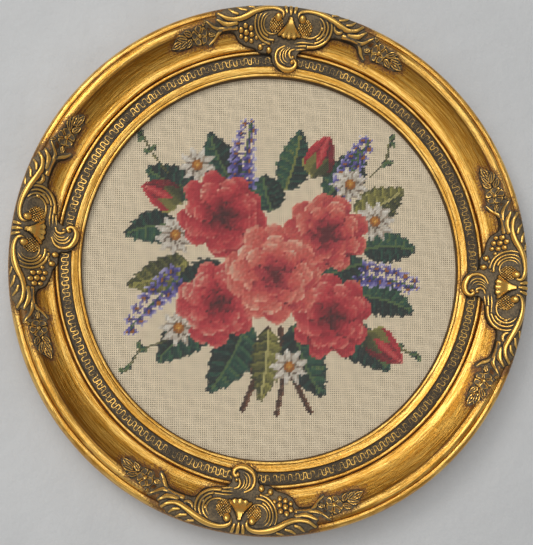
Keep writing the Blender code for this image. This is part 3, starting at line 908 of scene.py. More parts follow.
class Relief:
    """The carved face of a cartouche on a flat grid, in millimetres."""

    def __init__(self, cell):
        columns = int(2 * FIELD_HALF / cell) + 1
        rows = int((FIELD_END - FIELD_START) / cell) + 1
        self.cell = cell
        self.mesh, across, up = grid_mesh("casting", columns, rows)
        self.order = up * columns + across
        self.along, self.reach = np.meshgrid(
            -FIELD_HALF + cell * np.arange(columns), FIELD_START + cell * np.arange(rows)
        )
        self.rise = np.zeros(self.along.shape)

    def window(self, low, high, margin):
        """The part of the grid round a box."""
        spans = []
        for start, side in ((FIELD_START, 1), (-FIELD_HALF, 0)):
            first = int((low[side] - margin - start) / self.cell)
            last = int((high[side] + margin - start) / self.cell) + 2
            spans.append(slice(max(0, first), max(0, last)))
        return tuple(spans)

    def raise_to(self, part, height):
        """Raises a part of the face wherever it is lower than this."""
        self.rise[part] = np.maximum(self.rise[part], height)

    def stroke(self, points, widths, lift):
        """A round-backed stroke that swells and tapers along a smooth curve."""
        curve = smoothed(fitted(points), 5)
        share = np.linspace(0, 1, len(curve))
        halves = np.interp(share, [0, 0.5, 1], widths)
        for k in range(len(curve) - 1):
            (x0, y0), (x1, y1) = curve[k], curve[k + 1]
            dx, dy = x1 - x0, y1 - y0
            part = self.window((min(x0, x1), min(y0, y1)), (max(x0, x1), max(y0, y1)), max(widths) + 0.5)
            along, reach = self.along[part], self.reach[part]
            t = np.clip(((along - x0) * dx + (reach - y0) * dy) / (dx * dx + dy * dy), 0, 1)
            half = halves[k] + (halves[k + 1] - halves[k]) * t
            gap = np.hypot(along - x0 - t * dx, reach - y0 - t * dy) / half
            self.raise_to(part, lift * half * np.sqrt(np.clip(1 - gap * gap, 0, 1)))

    def ball(self, along, reach, radius, rise):
        """A round-topped boss."""
        (along, reach), = fitted([(along, reach)])
        part = self.window((along, reach), (along, reach), radius + 0.5)
        gap = np.hypot(self.along[part] - along, self.reach[part] - reach) / radius
        self.raise_to(part, rise * np.sqrt(np.clip(1 - gap * gap, 0, 1)))

    def leaf(self, root, tip, half, rise, fullness=LEAF_FULLNESS):
        """A leaf with a raised rim and a midrib; the fuller it is, the nearer its tip it is widest."""
        root, tip = fitted([root, tip])
        dx, dy = tip[0] - root[0], tip[1] - root[1]
        length = math.hypot(dx, dy)
        low = (min(root[0], tip[0]), min(root[1], tip[1]))
        high = (max(root[0], tip[0]), max(root[1], tip[1]))
        part = self.window(low, high, half + 0.5)
        along, reach = self.along[part] - root[0], self.reach[part] - root[1]
        share = (along * dx + reach * dy) / length ** 2
        aside = (reach * dx - along * dy) / length
        edge = half * np.sin(math.pi * np.clip(share, 0, 1) ** fullness) ** 0.7
        across = np.abs(aside) / np.maximum(edge, 0.05)
        rim = 0.25 + 0.75 * np.clip(across, 0, 1) ** 2.5
        rib = 0.85 * np.exp(-((aside / 0.45) ** 2)) * smoothstep(0.85, 0.6, share) * (fullness < 1)
        height = rise * np.maximum(rim, rib) * np.sqrt(np.clip(1 - across ** 6, 0, 1))
        self.raise_to(part, np.where((share > 0) & (share < 1), height, 0))

    def nest_rib(self, along, reach, across, down, first, last, half):
        """A rib that curls round a nest's centre and thickens towards its end."""
        angles = np.radians(np.linspace(first, last, 9))
        points = [(along + across * math.cos(a), reach + down * math.sin(a)) for a in angles]
        self.stroke(points, (0.45 * half, 0.9 * half, 1.15 * half), NEST_LIFT)

    def hatch(self, along, reach, radius):
        """A pad with fine crossed cuts, as on the ground inside a nest."""
        (along, reach), = fitted([(along, reach)])
        part = self.window((along, reach), (along, reach), radius)
        x, y = self.along[part], self.reach[part]
        cuts = [np.abs(np.sin(line * math.pi / HATCH_PITCH)) for line in (x + y, x - y)]
        fade = smoothstep(radius, radius - 1.2, np.hypot(x - along, y - reach))
        self.raise_to(part, HATCH_RISE * fade * smoothstep(0.15, 0.75, np.minimum(*cuts)))

    def shell(self):
        """The fan: a smooth narrow top with hollow sides, ribs below and a scalloped foot."""
        part = self.window((-SHELL_HALF, SHELL_FOOT), (SHELL_HALF, SHELL_APEX), 3)
        down = (SHELL_APEX - self.reach[part]) / (SHELL_APEX - SHELL_FOOT)
        half = SHELL_NECK + (SHELL_HALF - SHELL_NECK) * np.clip(down / 0.82, 0, 1) ** 1.9
        across = (self.along[part] - SHELL_ALONG) / half
        ribs = np.abs(np.cos(across * math.pi * SHELL_RIBS / 2))
        limit = 1.0 - 0.07 * (1 - ribs) - 0.22 * across ** 2
        body = smoothstep(1.0, 0.92, np.abs(across)) * smoothstep(0, 0.05, down)
        body = body * smoothstep(limit, limit - 0.05, down)
        flare = 0.50 + 0.52 * np.exp(-(((down - 0.40) / 0.22) ** 2)) + 0.5 * np.clip(down, 0, 1) ** 3
        rim = 0.20 * smoothstep(0.70, 0.88, np.abs(across))
        furrow = 0.30 * (1 - ribs) * smoothstep(0.5, 0.85, down)
        self.raise_to(part, body * SHELL_RISE * (flare - furrow + rim))

    def flower(self, along, reach):
        """Broad petals round a heart."""
        for k in range(PETALS):
            heading = math.tau * (k + 0.3) / PETALS
            ux, uy = math.cos(heading), math.sin(heading)
            root = (along + PETAL_ROOT * ux, reach + PETAL_ROOT * uy)
            tip = (along + PETAL_REACH * ux, reach + PETAL_REACH * uy)
            self.leaf(root, tip, PETAL_HALF, LEAF_RISE, PETAL_FULLNESS)
        self.ball(along, reach, FLOWER_HEART, LEAF_RISE)

    def carve(self):
        """Carves the whole ornament, and keeps its detail apart from the swells that it stands on."""
        for along, reach, radius, rise in SWELLS:
            gap = np.hypot(self.along - along, self.reach - reach) / radius
            self.rise += rise * np.clip(1 - gap * gap, 0, 1) ** 1.5
        ground = self.rise.copy()
        self.rise = np.zeros(ground.shape)
        for circle in NEST_HATCH:
            self.hatch(*circle)
        for rib in NEST_RIBS:
            self.nest_rib(*rib)
        self.shell()
        for points, widths, lift in TONGUE + SMALL_SCROLLS + FINGERS + VOLUTES + SPRAY_STEMS:
            self.stroke(points, widths, lift)
        for ball in BALLS:
            self.ball(*ball)
        for flower in SPRAY_FLOWERS:
            self.flower(*flower)
        for root, tip, half in SPRAY_LEAVES:
            self.leaf(root, tip, half, LEAF_RISE)
        self.detail = self.rise
        self.rise = self.rise + ground

    def blurred(self, field, radius):
        """Box blur over a square of this half-width, in millimetres."""
        cells = max(1, int(round(radius / self.cell)))
        result = field
        for axis in (0, 1):
            edges = [(0, 0), (0, 0)]
            edges[axis] = (cells + 1, cells)
            sums = np.cumsum(np.pad(result, edges, mode="edge"), axis=axis)
            span = 2 * cells + 1
            high = np.take(sums, np.arange(span, sums.shape[axis]), axis=axis)
            low = np.take(sums, np.arange(0, sums.shape[axis] - span), axis=axis)
            result = (high - low) / span
        return result


def plate_level(along, reach):
    """Height of the bare plate, which bridges the cove and follows the moulding under the sprays."""
    table = np.array(PLATE, float)
    body = np.interp(reach, table[:, 0], table[:, 1])
    spray = moulded_level(reach) + SPRAY_PLATE
    return body + (spray - body) * smoothstep(BODY_END, SPRAY_START, np.abs(along))


def trimmed(relief, inside):
    """Draws the sprays' edge in to where their carving lies; the body keeps its drawn outline."""
    carved = relief.blurred((relief.detail > TRIM_RISE).astype(float), TRIM_BLUR)
    near = (smoothstep(*TRIM_SHARES, carved) - TRIM_MIDDLE) * TRIM_WIDTH
    sprays = smoothstep(BODY_END, BODY_END + TRIM_BLEND, np.abs(relief.along))
    return inside + (np.minimum(inside, near) - inside) * sprays


def make_castings(finish, patina):
    """The four cartouches, cast from one carved face."""
    relief = Relief(finish.cell / MM)
    relief.carve()
    along, reach, rise = relief.along, relief.reach, relief.rise
    # The carving stands square to the plate, which is smoothed first
    height = relief.blurred(plate_level(along, reach), 0.8)
    slope = np.gradient(height, axis=0) / relief.cell
    length = np.hypot(1, slope)

    inside = trimmed(relief, outline_distance(along, reach))
    share = smoothstep(*EDGE_BAND, inside)
    sunk_reach = np.minimum(reach, EDGE_REACH)
    sunk_height = moulded_level(reach) - SUNK
    final_reach = sunk_reach + (reach - LEAN * slope / length * rise - sunk_reach) * share
    final_height = sunk_height + (height + rise / length - sunk_height) * share

    # Ridges that stand clear of their surroundings are rubbed, and so are the crowns of high forms
    proud = relief.detail - relief.blurred(relief.detail, finish.rub_reach / MM)
    ridge = smoothstep(-0.05, 0.35, proud) * smoothstep(0.25, 0.8, relief.detail)
    crown = 0.85 * smoothstep(1.1, 2.0, relief.detail) * smoothstep(-0.5, -0.1, proud)
    rub = np.maximum(ridge, crown)
    crease = smoothstep(0.02, 0.42, -proud)
    recess = np.maximum(crease, 0.9 * smoothstep(0.9, -0.5, inside))
    keep = inside > EDGE_KEPT
    order = relief.order
    set_values(relief.mesh, "rub", rub.ravel()[order])
    set_values(relief.mesh, "recess", recess.ravel()[order])
    for side, degrees in CARTOUCHES.items():
        mesh = relief.mesh.copy()
        turn = math.radians(degrees) + along * MM / ARC_RADIUS
        points = place(final_reach * MM, final_height * MM, turn).reshape(-1, 3)
        set_coordinates(mesh, points[order])
        drop_faces(mesh, keep.ravel()[order])
        face_outward(mesh, (0, -1, 0))
        name = "cartouche_" + side
        finish_piece(name + "_casting", mesh, [patina], [name], 70)
    bpy.data.meshes.remove(relief.mesh)


# Canvas

def make_canvas(cloth, material):
    """The round of canvas itself, just behind its threads; its material paints the shade seen in the holes of
    the weave.
    """
    bm = bmesh.new()
    bmesh.ops.create_circle(bm, cap_ends=True, segments=128, radius=CANVAS_RADIUS)
    made = bmesh.ops.extrude_face_region(bm, geom=bm.faces[:])
    raised = [item for item in made["geom"] if isinstance(item, bmesh.types.BMVert)]
    bmesh.ops.translate(bm, vec=(0, 0, 1), verts=raised)
    for vert in bm.verts:
        depth = cloth.ground_front if vert.co.z > 0.5 else 0
        vert.co = (vert.co.x * OVAL, CLOTH_HIGH[1] - depth, vert.co.y)
    bmesh.ops.recalc_face_normals(bm, faces=bm.faces)
    mesh = mesh_from(bm, "canvas_ground")
    return finish_piece("canvas_ground", mesh, [material], ["canvas"], 40)


def make_threads(cloth, name, upright, material, chart):
    """One set of parallel threads as ribbons that pass over and under the other set."""
    half_count = int(CANVAS_RADIUS / cloth.pitch)
    threads = 2 * half_count + 1
    mesh, across, up = grid_mesh(name, 3 * threads, threads)
    thread, part = across // 3 - half_count, across % 3 - 1
    crossing = up - half_count
    wave = np.where((thread + crossing + upright) % 2 == 0, 1.0, -1.0)
    # Hand-woven threads wander by a few hundredths of a pitch and vary by a sixth in width
    sway = 0.06 * np.sin(thread * 12.9 + crossing * 0.7) + 0.05 * np.sin(crossing * 2.3 + thread * 5.1)
    width = cloth.thread_half * (1 + 0.16 * np.sin(thread * 7.3 + crossing * 0.31))
    sideways = (thread + sway) * cloth.pitch + part * width
    lengthways = crossing * cloth.pitch
    lift = cloth.thread_level + wave * cloth.thread_wave + np.where(part == 0, cloth.thread_crown, 0)
    flat = np.stack([sideways, CLOTH_HIGH[1] - lift, lengthways], axis=1)
    points = flat if upright else flat[:, [2, 1, 0]]
    set_coordinates(mesh, points)
    column, row = (thread, crossing) if upright else (crossing, thread)
    radius = np.hypot(points[:, 0] / OVAL, points[:, 2])
    covered = stitched_inside(chart, column, row)
    drop_faces(mesh, (radius < CANVAS_RADIUS - 0.6 * MM) & ~covered)
    drop_bridges(mesh, upright, cloth.pitch)
    face_outward(mesh, (0, -1, 0))
    return finish_piece(name, mesh, [material])


def drop_bridges(mesh, upright, pitch):
    """Deletes the grid's faces that span the gap from one thread to the next."""
    bm = bmesh.new()
    bm.from_mesh(mesh)
    side = 0 if upright else 2
    doomed = []
    for face in bm.faces:
        sides = [vert.co[side] for vert in face.verts]
        middle = (min(sides) + max(sides)) / 2 / pitch
        if abs(middle - round(middle)) > 0.33:
            doomed.append(face)
    bmesh.ops.delete(bm, geom=doomed, context="FACES")
    bm.to_mesh(mesh)
    bm.free()


def stitched_inside(chart, column, row):
    """True where wool covers the crossing and the ones round it."""
    covered = chart != BARE
    deep = covered.copy()
    for dx, dy in ((1, 0), (-1, 0), (0, 1), (0, -1)):
        deep &= np.roll(covered, (dy, dx), axis=(0, 1))
    inside = (np.abs(column) <= CHART_HALF) & (np.abs(row) <= CHART_HALF)
    safe_row = np.clip(row + CHART_HALF, 0, 2 * CHART_HALF)
    safe_column = np.clip(column + CHART_HALF, 0, 2 * CHART_HALF)
    return inside & deep[safe_row, safe_column]


# Posy chart: a generic arrangement of common flowers, counted on the canvas

def grain(seed):
    """Repeatable speckle from 0 to 1 for every stitch."""
    value = np.sin(COLUMNS * (12.9898 + seed) + ROWS * (78.233 - seed) + seed * 3.1) * 43758.5453
    return value - np.floor(value)


def speckle(seed, amount):
    """A small change of tone from stitch to stitch, to both sides of zero."""
    return amount * (grain(seed) - 0.5)


def frame_at(spot, dx, dy):
    """How far each stitch lies along a direction from a spot, and to the left of it.

    Both are in stitches where the direction is one stitch long, and scaled by its length where it isn't.
    """
    across, up = COLUMNS - spot[0], ROWS - spot[1]
    return across * dx + up * dy, up * dx - across * dy


def yarn_table():
    """Every yarn's colour, and the number of the first one in each ramp."""
    colours, first = [], {}
    for name, shades in YARN_RAMPS.items():
        first[name] = len(colours)
        colours += [linear(shade) for shade in shades]
    return np.array(colours), first


YARNS, FIRST_YARN = yarn_table()


def work(chart, mask, ramp, tone):
    """Stitches the masked part in the yarns of one ramp; tone runs from 0, darkest, to 1."""
    count = len(YARN_RAMPS[ramp])
    yarns = FIRST_YARN[ramp] + np.clip((tone * count).astype(int), 0, count - 1)
    chart[mask] = np.broadcast_to(yarns, chart.shape)[mask]


def axis_terms(start, end, bend=0.0):
    """Share along a bowed midrib and the signed distance from it, in stitches."""
    dx, dy = end[0] - start[0], end[1] - start[1]
    length = math.hypot(dx, dy)
    along, aside = frame_at(start, dx, dy)
    along, aside = along / length ** 2, aside / length
    return along, aside - bend * 4 * along * (1 - along)


def work_leaf(chart, start, end, width, ramp, bend, light, seed, teeth=7):
    """A toothed leaf, one half darker than the other, with paler side veins."""
    along, aside = axis_terms(start, end, bend)
    inside = (along > 0) & (along < 1)
    share = np.clip(along, 0.001, 0.999)
    notch = (1.6 * np.mod(share * teeth, 1.0) - 0.6) * min(1, width / 8)
    half = width * np.sin(math.pi * share ** 0.8) ** 0.75 + notch
    across = np.abs(aside) / np.maximum(half, 0.1)
    vein = np.mod(share * teeth - 0.55 * across, 1.0)
    tone = light + np.where(aside > 0, 0.14, -0.10)
    tone = tone + 0.20 * ((vein < 0.30) & (across > 0.15)) - 0.12 * (vein > 0.78)
    tone = tone - 0.16 * (across > 0.84) + 0.05 * np.cos(share * 9 + seed) + speckle(seed, 0.10)
    work(chart, inside & (np.abs(aside) < half), ramp, np.clip(tone, 0, 0.99))
    midrib = inside & (np.abs(aside) < 0.6) & (share < 0.93)
    work(chart, midrib, ramp, np.full(chart.shape, min(0.95, light + 0.42)))


def work_stem(chart, points, half, ramp, tone):
    """A stem through these points, darker on one side."""
    for (x0, y0), (x1, y1) in zip(points, points[1:]):
        dx, dy = x1 - x0, y1 - y0
        along, aside = frame_at((x0, y0), dx, dy)
        share = np.clip(along / (dx * dx + dy * dy), 0, 1)
        gap = np.hypot(COLUMNS - x0 - share * dx, ROWS - y0 - share * dy)
        side = aside / math.hypot(dx, dy)
        shade = tone + 0.22 * side / max(half, 1) + speckle(2, 0.2)
        work(chart, gap < half, ramp, np.clip(shade, 0, 0.99))


def work_petal(chart, centre, heading, reach, width, ramp, low, high, seed):
    """One petal, dark at its root and pale along its lip."""
    along, side = frame_at(centre, math.cos(heading), math.sin(heading))
    share = along / reach
    outline = np.sqrt(np.clip(1 - np.clip(share, -1, 1) ** 2, 0, 1)) * width + 0.5 * np.sin(share * 9 + seed)
    mask = (np.abs(share) < 1) & (np.abs(side) < outline)
    edge = np.minimum(1 - np.abs(share), 1 - np.abs(side) / np.maximum(outline, 0.1))
    rise = np.clip((share + 1) / 2, 0, 1)
    tone = low + (high - low) * (0.25 + 0.75 * rise ** 1.3) + 0.05 * math.cos(heading - math.radians(125))
    tone = tone + 0.125 * side / max(width, 1) + 0.11 * ((edge < 0.16) & (share > 0.35))
    tone = tone - 0.20 * np.clip(0.22 - edge, 0, 1) / 0.22 * (share < 0.55) + speckle(seed, 0.10)
    work(chart, mask, ramp, np.clip(tone, 0, 0.99))


# Rings of a double flower from the outside in:
# share of its radius, petals, half-width share, low tone, high tone
BLOSSOM_RINGS = [
    (1.00, 9, 0.36, 0.14, 0.60), (0.84, 8, 0.36, 0.10, 0.74), (0.66, 7, 0.38, 0.06, 0.72),
    (0.46, 5, 0.42, 0.02, 0.52), (0.26, 4, 0.50, 0.00, 0.32),
]


def work_blossom(chart, centre, radius, ramp, lightness, turn, seed):
    """A double flower, worked ring by ring from its outer petals to its heart."""
    for number, (share, count, wide, low, high) in enumerate(BLOSSOM_RINGS):
        ring = radius * share
        for k in range(count):
            heading = turn + number * 0.9 + math.tau * (k + 0.18 * math.sin(seed + 3 * k)) / count
            jog = 1 + 0.10 * math.sin(seed * 1.7 + 5 * k + number)
            out = 0.55 * ring
            middle = (centre[0] + out * math.cos(heading), centre[1] + out * math.sin(heading))
            work_petal(
                chart, middle, heading, 0.52 * ring * jog, wide * ring, ramp,
                low + lightness, high + lightness, seed + 7 * k + number,
            )


def work_daisy(chart, centre, radius, petals, turn, seed):
    """Narrow white petals round a gold eye."""
    for k in range(petals):
        heading = turn + math.tau * k / petals
        along, aside = frame_at(centre, math.cos(heading), math.sin(heading))
        share, side = along / radius, np.abs(aside)
        outline = 1.75 * np.sin(np.clip(share, 0, 1) ** 0.8 * math.pi * 0.93 + 0.15) * radius / 8.5
        tone = 0.40 + 0.55 * share - 0.30 * (side > outline - 0.45) + speckle(seed + k, 0.14)
        mask = (share > 0) & (share < 1) & (side < outline + 0.35)
        work(chart, mask, "white", np.clip(tone + 0.06 * math.cos(heading - 2.2), 0, 0.99))
    gap = np.hypot(COLUMNS - centre[0], ROWS - centre[1])
    work(chart, gap < 0.26 * radius, "gold", np.clip(0.75 - 0.2 * gap + 0.15 * (ROWS > centre[1]), 0, 0.99))


def work_bell(chart, centre, heading, size, seed):
    """A small five-lobed violet bell with a gold eye."""
    gap = np.hypot(COLUMNS - centre[0], ROWS - centre[1])
    turn = np.arctan2(ROWS - centre[1], COLUMNS - centre[0]) - heading
    tone = 0.18 + 0.55 * gap / size + 0.16 * np.cos(turn) + speckle(seed, 0.16)
    work(chart, gap < size * (0.74 + 0.30 * np.cos(5 * turn)), "violet", np.clip(tone, 0, 0.99))
    work(chart, gap < 0.8, "gold", np.full(chart.shape, 0.45))


def work_spike(chart, root, tip, count, size, bend, seed):
    """A tapering spike of small bells on a green stalk."""
    dx, dy = tip[0] - root[0], tip[1] - root[1]
    length = math.hypot(dx, dy)
    work_stem(chart, [root, tip], 0.9, "leaf", 0.55)
    for k in range(count):
        share = (k + 0.4) / count
        taper = 1 - 0.55 * share
        for side in (-1, 1):
            offset = side * (0.8 + 0.9 * size * taper) + bend * 4 * share * (1 - share)
            lift = share + 0.25 * side / count
            spot = (root[0] + dx * lift - dy / length * offset, root[1] + dy * lift + dx / length * offset)
            work_bell(chart, spot, math.atan2(dy, dx) + side * 1.1, size * taper + 0.8, seed + 3 * k + side)
    work_bell(chart, tip, math.atan2(dy, dx), size * 0.5, seed)


def work_bud(chart, root, tip, width, seed):
    """A closed bud: side petals, a paler one in front and a green cup."""
    along, aside = axis_terms(root, tip)
    share = np.clip(along, 0.001, 0.999)
    half = width * np.sin(math.pi * share ** 0.72) ** 0.6 * (1 - 0.22 * share)
    across = aside / np.maximum(half, 0.1)
    tone = 0.26 + 0.16 * across + 0.22 * share - 0.16 * (np.abs(np.abs(across) - 0.42) < 0.10)
    tone = tone + 0.34 * np.clip(1 - np.abs(across) / 0.38, 0, 1) * (share > 0.15)
    tone = tone + speckle(seed, 0.10)
    work(chart, (along > 0) & (along < 1) & (np.abs(aside) < half), "crimson", np.clip(tone, 0, 0.99))
    cup = (along > -0.08) & (along < 0.34 - 0.16 * np.cos(across * 7)) & (np.abs(aside) < half + 0.6)
    work(chart, cup, "olive", np.clip(0.35 + 0.3 * across + 0.3 * share, 0, 0.99))


def work_sprig(chart, points, seed):
    """A thin stem with a pair of small leaves at each of its points."""
    work_stem(chart, points, 0.6, "olive", 0.35)
    for k, (x, y) in enumerate(points[1:]):
        for side in (-0.9, 0.9):
            heading = k * 1.3 + seed + side
            end = (x + 4.0 * math.cos(heading), y + 4.0 * math.sin(heading))
            work_leaf(chart, (x, y), end, 1.5, "leaf", 0, 0.30, seed + k, 2)


# The posy, in stitches from its middle. Leaves: start, end, half-width, ramp, bend, lightness
POSY_LEAVES = [
    ((-12, -26), (-30, -60), 10, "leaf", 2, 0.26), ((10, -28), (24, -62), 10, "leaf", -2, 0.24),
    ((-2, -30), (-6, -64), 7, "olive", 1, 0.45), ((26, -30), (56, -50), 9, "leaf", 3, 0.30),
    ((-28, -28), (-54, -46), 9, "leaf", -3, 0.22), ((40, -14), (68, -22), 8, "leaf", 2, 0.24),
    ((-40, 2), (-68, -10), 8, "olive", 2, 0.40), ((-44, 18), (-70, 14), 8, "leaf", -2, 0.26),
    ((44, 8), (70, 8), 8, "leaf", 2, 0.30), ((40, 26), (64, 38), 9, "olive", -2, 0.42),
    ((-36, 36), (-60, 46), 9, "leaf", 2, 0.30), ((26, 34), (44, 58), 9, "leaf", -2, 0.24),
    ((-16, 36), (-30, 64), 9, "leaf", 2, 0.22), ((6, 36), (14, 66), 8, "leaf", -1, 0.34),
    ((0, 26), (-4, 44), 9, "leaf", 1, 0.24), ((20, -8), (46, 2), 9, "leaf", 1, 0.22),
    ((-22, -2), (-46, -10), 9, "leaf", 1, 0.24),
]

# Stems, as points
POSY_STEMS = [
    [(-2, -30), (-6, -48), (-14, -68)], [(4, -30), (6, -50), (2, -70)], [(0, -34), (10, -54), (18, -69)],
    [(-30, -20), (-20, -40), (-2, -58)],
]

# Sprigs: points, seed
POSY_SPRIGS = [
    ([(-50, 44), (-58, 54), (-62, 62)], 2), ([(48, 44), (56, 52), (58, 62)], 5),
    ([(-50, -36), (-62, -40), (-68, -50)], 7), ([(54, -34), (62, -40), (70, -42)], 9),
]

# Spikes of bells: root, tip, pairs of bells, size, bend, seed
POSY_SPIKES = [
    ((-14, 40), (-10, 70), 6, 3.6, 2, 3), ((-44, -6), (-68, -32), 6, 3.6, -2, 5),
    ((42, -4), (70, -10), 6, 3.4, 2, 7), ((34, 36), (48, 62), 6, 3.4, 2, 11),
]

# Buds: root, tip, half-width, seed
POSY_BUDS = [((-44, 30), (-62, 38), 8, 3), ((20, 44), (28, 64), 8, 5), ((46, -32), (62, -46), 8, 7)]

# Daisies: centre, radius, petals, turn, seed
POSY_DAISIES = [
    ((-46, 14), 10, 10, 0.2, 1), ((-36, 48), 9, 9, 0.5, 2), ((50, 22), 10, 10, 0.1, 3),
    ((38, 40), 9, 9, 0.4, 4), ((-44, -30), 9, 9, 0.3, 5), ((8, -48), 9, 9, 0.3, 6),
]

# Blossoms: centre, radius, ramp, lightness, turn, seed
POSY_BLOSSOMS = [
    ((-24, 24), 20, "crimson", 0.0, 0.4, 3), ((26, 16), 19, "coral", -0.10, 1.0, 7),
    ((-26, -18), 19, "crimson", 0.08, 2.0, 11), ((28, -24), 19, "crimson", 0.02, 0.2, 13),
    ((0, -4), 22, "coral", 0.0, 0.7, 17),
]


def posy_chart():
    """The counted chart, laid from the back of the posy to its front: a yarn number for each stitch."""
    chart = np.full(COLUMNS.shape, BARE)
    for points in POSY_STEMS:
        work_stem(chart, points, 1.3, "stem", 0.4)
    for seed, (start, end, width, ramp, bend, light) in enumerate(POSY_LEAVES):
        work_leaf(chart, start, end, width, ramp, bend, light, seed)
    for points, seed in POSY_SPRIGS:
        work_sprig(chart, points, seed)
    for spike in POSY_SPIKES:
        work_spike(chart, *spike)
    for bud in POSY_BUDS:
        work_bud(chart, *bud)
    for daisy in POSY_DAISIES:
        work_daisy(chart, *daisy)
    for blossom in POSY_BLOSSOMS:
        work_blossom(chart, *blossom)
    return chart


def green_stitches(chart):
    """True where a stitch is in one of the leaf or stem yarns."""
    green = np.zeros(chart.shape, bool)
    for ramp in GREEN_RAMPS:
        first = FIRST_YARN[ramp]
        green |= (chart >= first) & (chart < first + len(YARN_RAMPS[ramp]))
    return green


def stitch_pattern(wool, material, along_parts, across_parts):
    """One slanting stitch: a rounded length of yarn that dips into the canvas at both ends."""
    bm = bmesh.new()
    bmesh.ops.create_grid(bm, x_segments=along_parts, y_segments=across_parts, size=0.5)
    ply = bm.verts.layers.float_vector.new("ply")
    for vert in bm.verts:
        along, across = vert.co.x * 2, vert.co.y * 2
        vert[ply] = (along, across, 0)
        plump = math.cos(across * math.pi / 2) * (1 - 0.30 * along * along)
        sink = 0.55 * abs(along) ** 3
        taper = 1 - 0.22 * abs(along) ** 3
        vert.co = (
            along * wool.length_share * wool.pitch / 2,
            across * wool.width_share * wool.pitch / 2 * taper,
            wool.rise * (plump - sink - 0.25 * abs(across) ** 2),
        )
    slant = Matrix.Rotation(math.radians(45), 3, "Z")
    bmesh.ops.rotate(bm, cent=(0, 0, 0), matrix=slant, verts=bm.verts)
    mesh = mesh_from(bm, "stitch_pattern")
    mesh.materials.append(material)
    return new_object("stitch_pattern", mesh)


def stitch_rows_nodes(pattern, seed):
    """Sets the pattern stitch on every point, each turned and swollen a little differently."""
    group = bpy.data.node_groups.new("Stitch rows", "GeometryNodeTree")
    group.interface.new_socket("Geometry", in_out="INPUT", socket_type="NodeSocketGeometry")
    group.interface.new_socket("Geometry", in_out="OUTPUT", socket_type="NodeSocketGeometry")
    given, result = group.nodes.new("NodeGroupInput"), group.nodes.new("NodeGroupOutput")
    source = add_node(group, "GeometryNodeObjectInfo", transform_space="ORIGINAL")
    source.inputs["Object"].default_value = pattern
    lean = add_node(group, "FunctionNodeRandomValue", data_type="FLOAT_VECTOR")
    lean.inputs[0].default_value = (-0.05, -0.05, -0.13)
    lean.inputs[1].default_value = (0.05, 0.05, 0.13)
    lean.inputs["Seed"].default_value = seed
    swell = add_node(group, "FunctionNodeRandomValue", data_type="FLOAT_VECTOR")
    swell.inputs[0].default_value = (0.92, 0.90, 0.80)
    swell.inputs[1].default_value = (1.06, 1.10, 1.20)
    swell.inputs["Seed"].default_value = seed + 1
    spots = add_node(group, "GeometryNodeInstanceOnPoints")
    real = add_node(group, "GeometryNodeRealizeInstances")
    group.links.new(given.outputs[0], spots.inputs["Points"])
    group.links.new(source.outputs["Geometry"], spots.inputs["Instance"])
    group.links.new(lean.outputs[0], spots.inputs["Rotation"])
    group.links.new(swell.outputs[0], spots.inputs["Scale"])
    group.links.new(spots.outputs[0], real.inputs[0])
    group.links.new(real.outputs[0], result.inputs[0])
    return group


def make_stitches(wool, name, chart, mask, material, back=False):
    """The masked stitches of the chart as one joined mesh, on the face or on the back of the canvas."""
    rows, columns = np.nonzero(mask)
    yarn = YARNS[chart[rows, columns]]
    flicker = 1 + wool.colour_change * (2 * grain(5)[rows, columns] - 1)
    colours = np.column_stack([yarn * flicker[:, None], np.ones(len(rows))])
    bm = bmesh.new()
    for row, column in zip(rows, columns):
        bm.verts.new(((column - CHART_HALF) * wool.pitch, (row - CHART_HALF) * wool.pitch, 0))
    points = mesh_from(bm, "stitch_points")
    layer = points.attributes.new("yarn", "FLOAT_COLOR", "POINT")
    layer.data.foreach_set("color", colours.astype(np.float32).ravel())
    holder = new_object("stitch_points", points)
    pattern = stitch_pattern(wool, material, 2 if back else 4, 1 if back else 2)
    rows_modifier = holder.modifiers.new("stitches", "NODES")
    rows_modifier.node_group = stitch_rows_nodes(pattern, wool.seed)
    mesh = applied_mesh(holder)
    bpy.data.objects.remove(pattern)
    terms = coordinates(mesh)
    if back:
        world = np.stack([terms[:, 0], CLOTH_HIGH[1] + 0.25 * MM + 0.6 * terms[:, 2], terms[:, 1]], axis=1)
    else:
        world = np.stack([terms[:, 0], CLOTH_LOW[1] + 0.15 * MM - terms[:, 2], terms[:, 1]], axis=1)
    set_coordinates(mesh, world)
    face_outward(mesh, (0, 1 if back else -1, 0))
    mesh.materials.clear()
    return finish_piece(name, mesh, [material])


# Stage

def stage_plane(name, low, high, facing, material):
    """A flat plane between two corners, for the picture only."""
    mesh, across, up = grid_mesh(name, 2, 2)
    share = np.stack([across, up, up], axis=1)
    set_coordinates(mesh, np.array(low) + share * (np.array(high) - np.array(low)))
    face_outward(mesh, facing)
    mesh.materials.append(material)
    obj = new_object(name, mesh)


def make_stage(stage):
    half, back, floor = stage.wall_half, WALL_Y + stage.wall_gap, -stage.drop
    stage_plane("wall_plane", (-half, back, floor), (half, back, half), (0, -1, 0), wall_material())
    stage_plane("floor_plane", (-half, -half, floor), (half, half, floor), (0, 0, 1), floor_material())


def soft_light(name, power, spot, size, colour):
    """A rectangle of light that faces the panel's middle."""
    data = bpy.data.lights.new(name, "AREA")
    data.shape = "RECTANGLE"
    data.size, data.size_y = size
    data.energy = power
    data.color = colour
    lamp = new_object(name, data)
    lamp.location = spot
    lamp.rotation_euler = (-Vector(spot)).to_track_quat("-Z", "Y").to_euler()


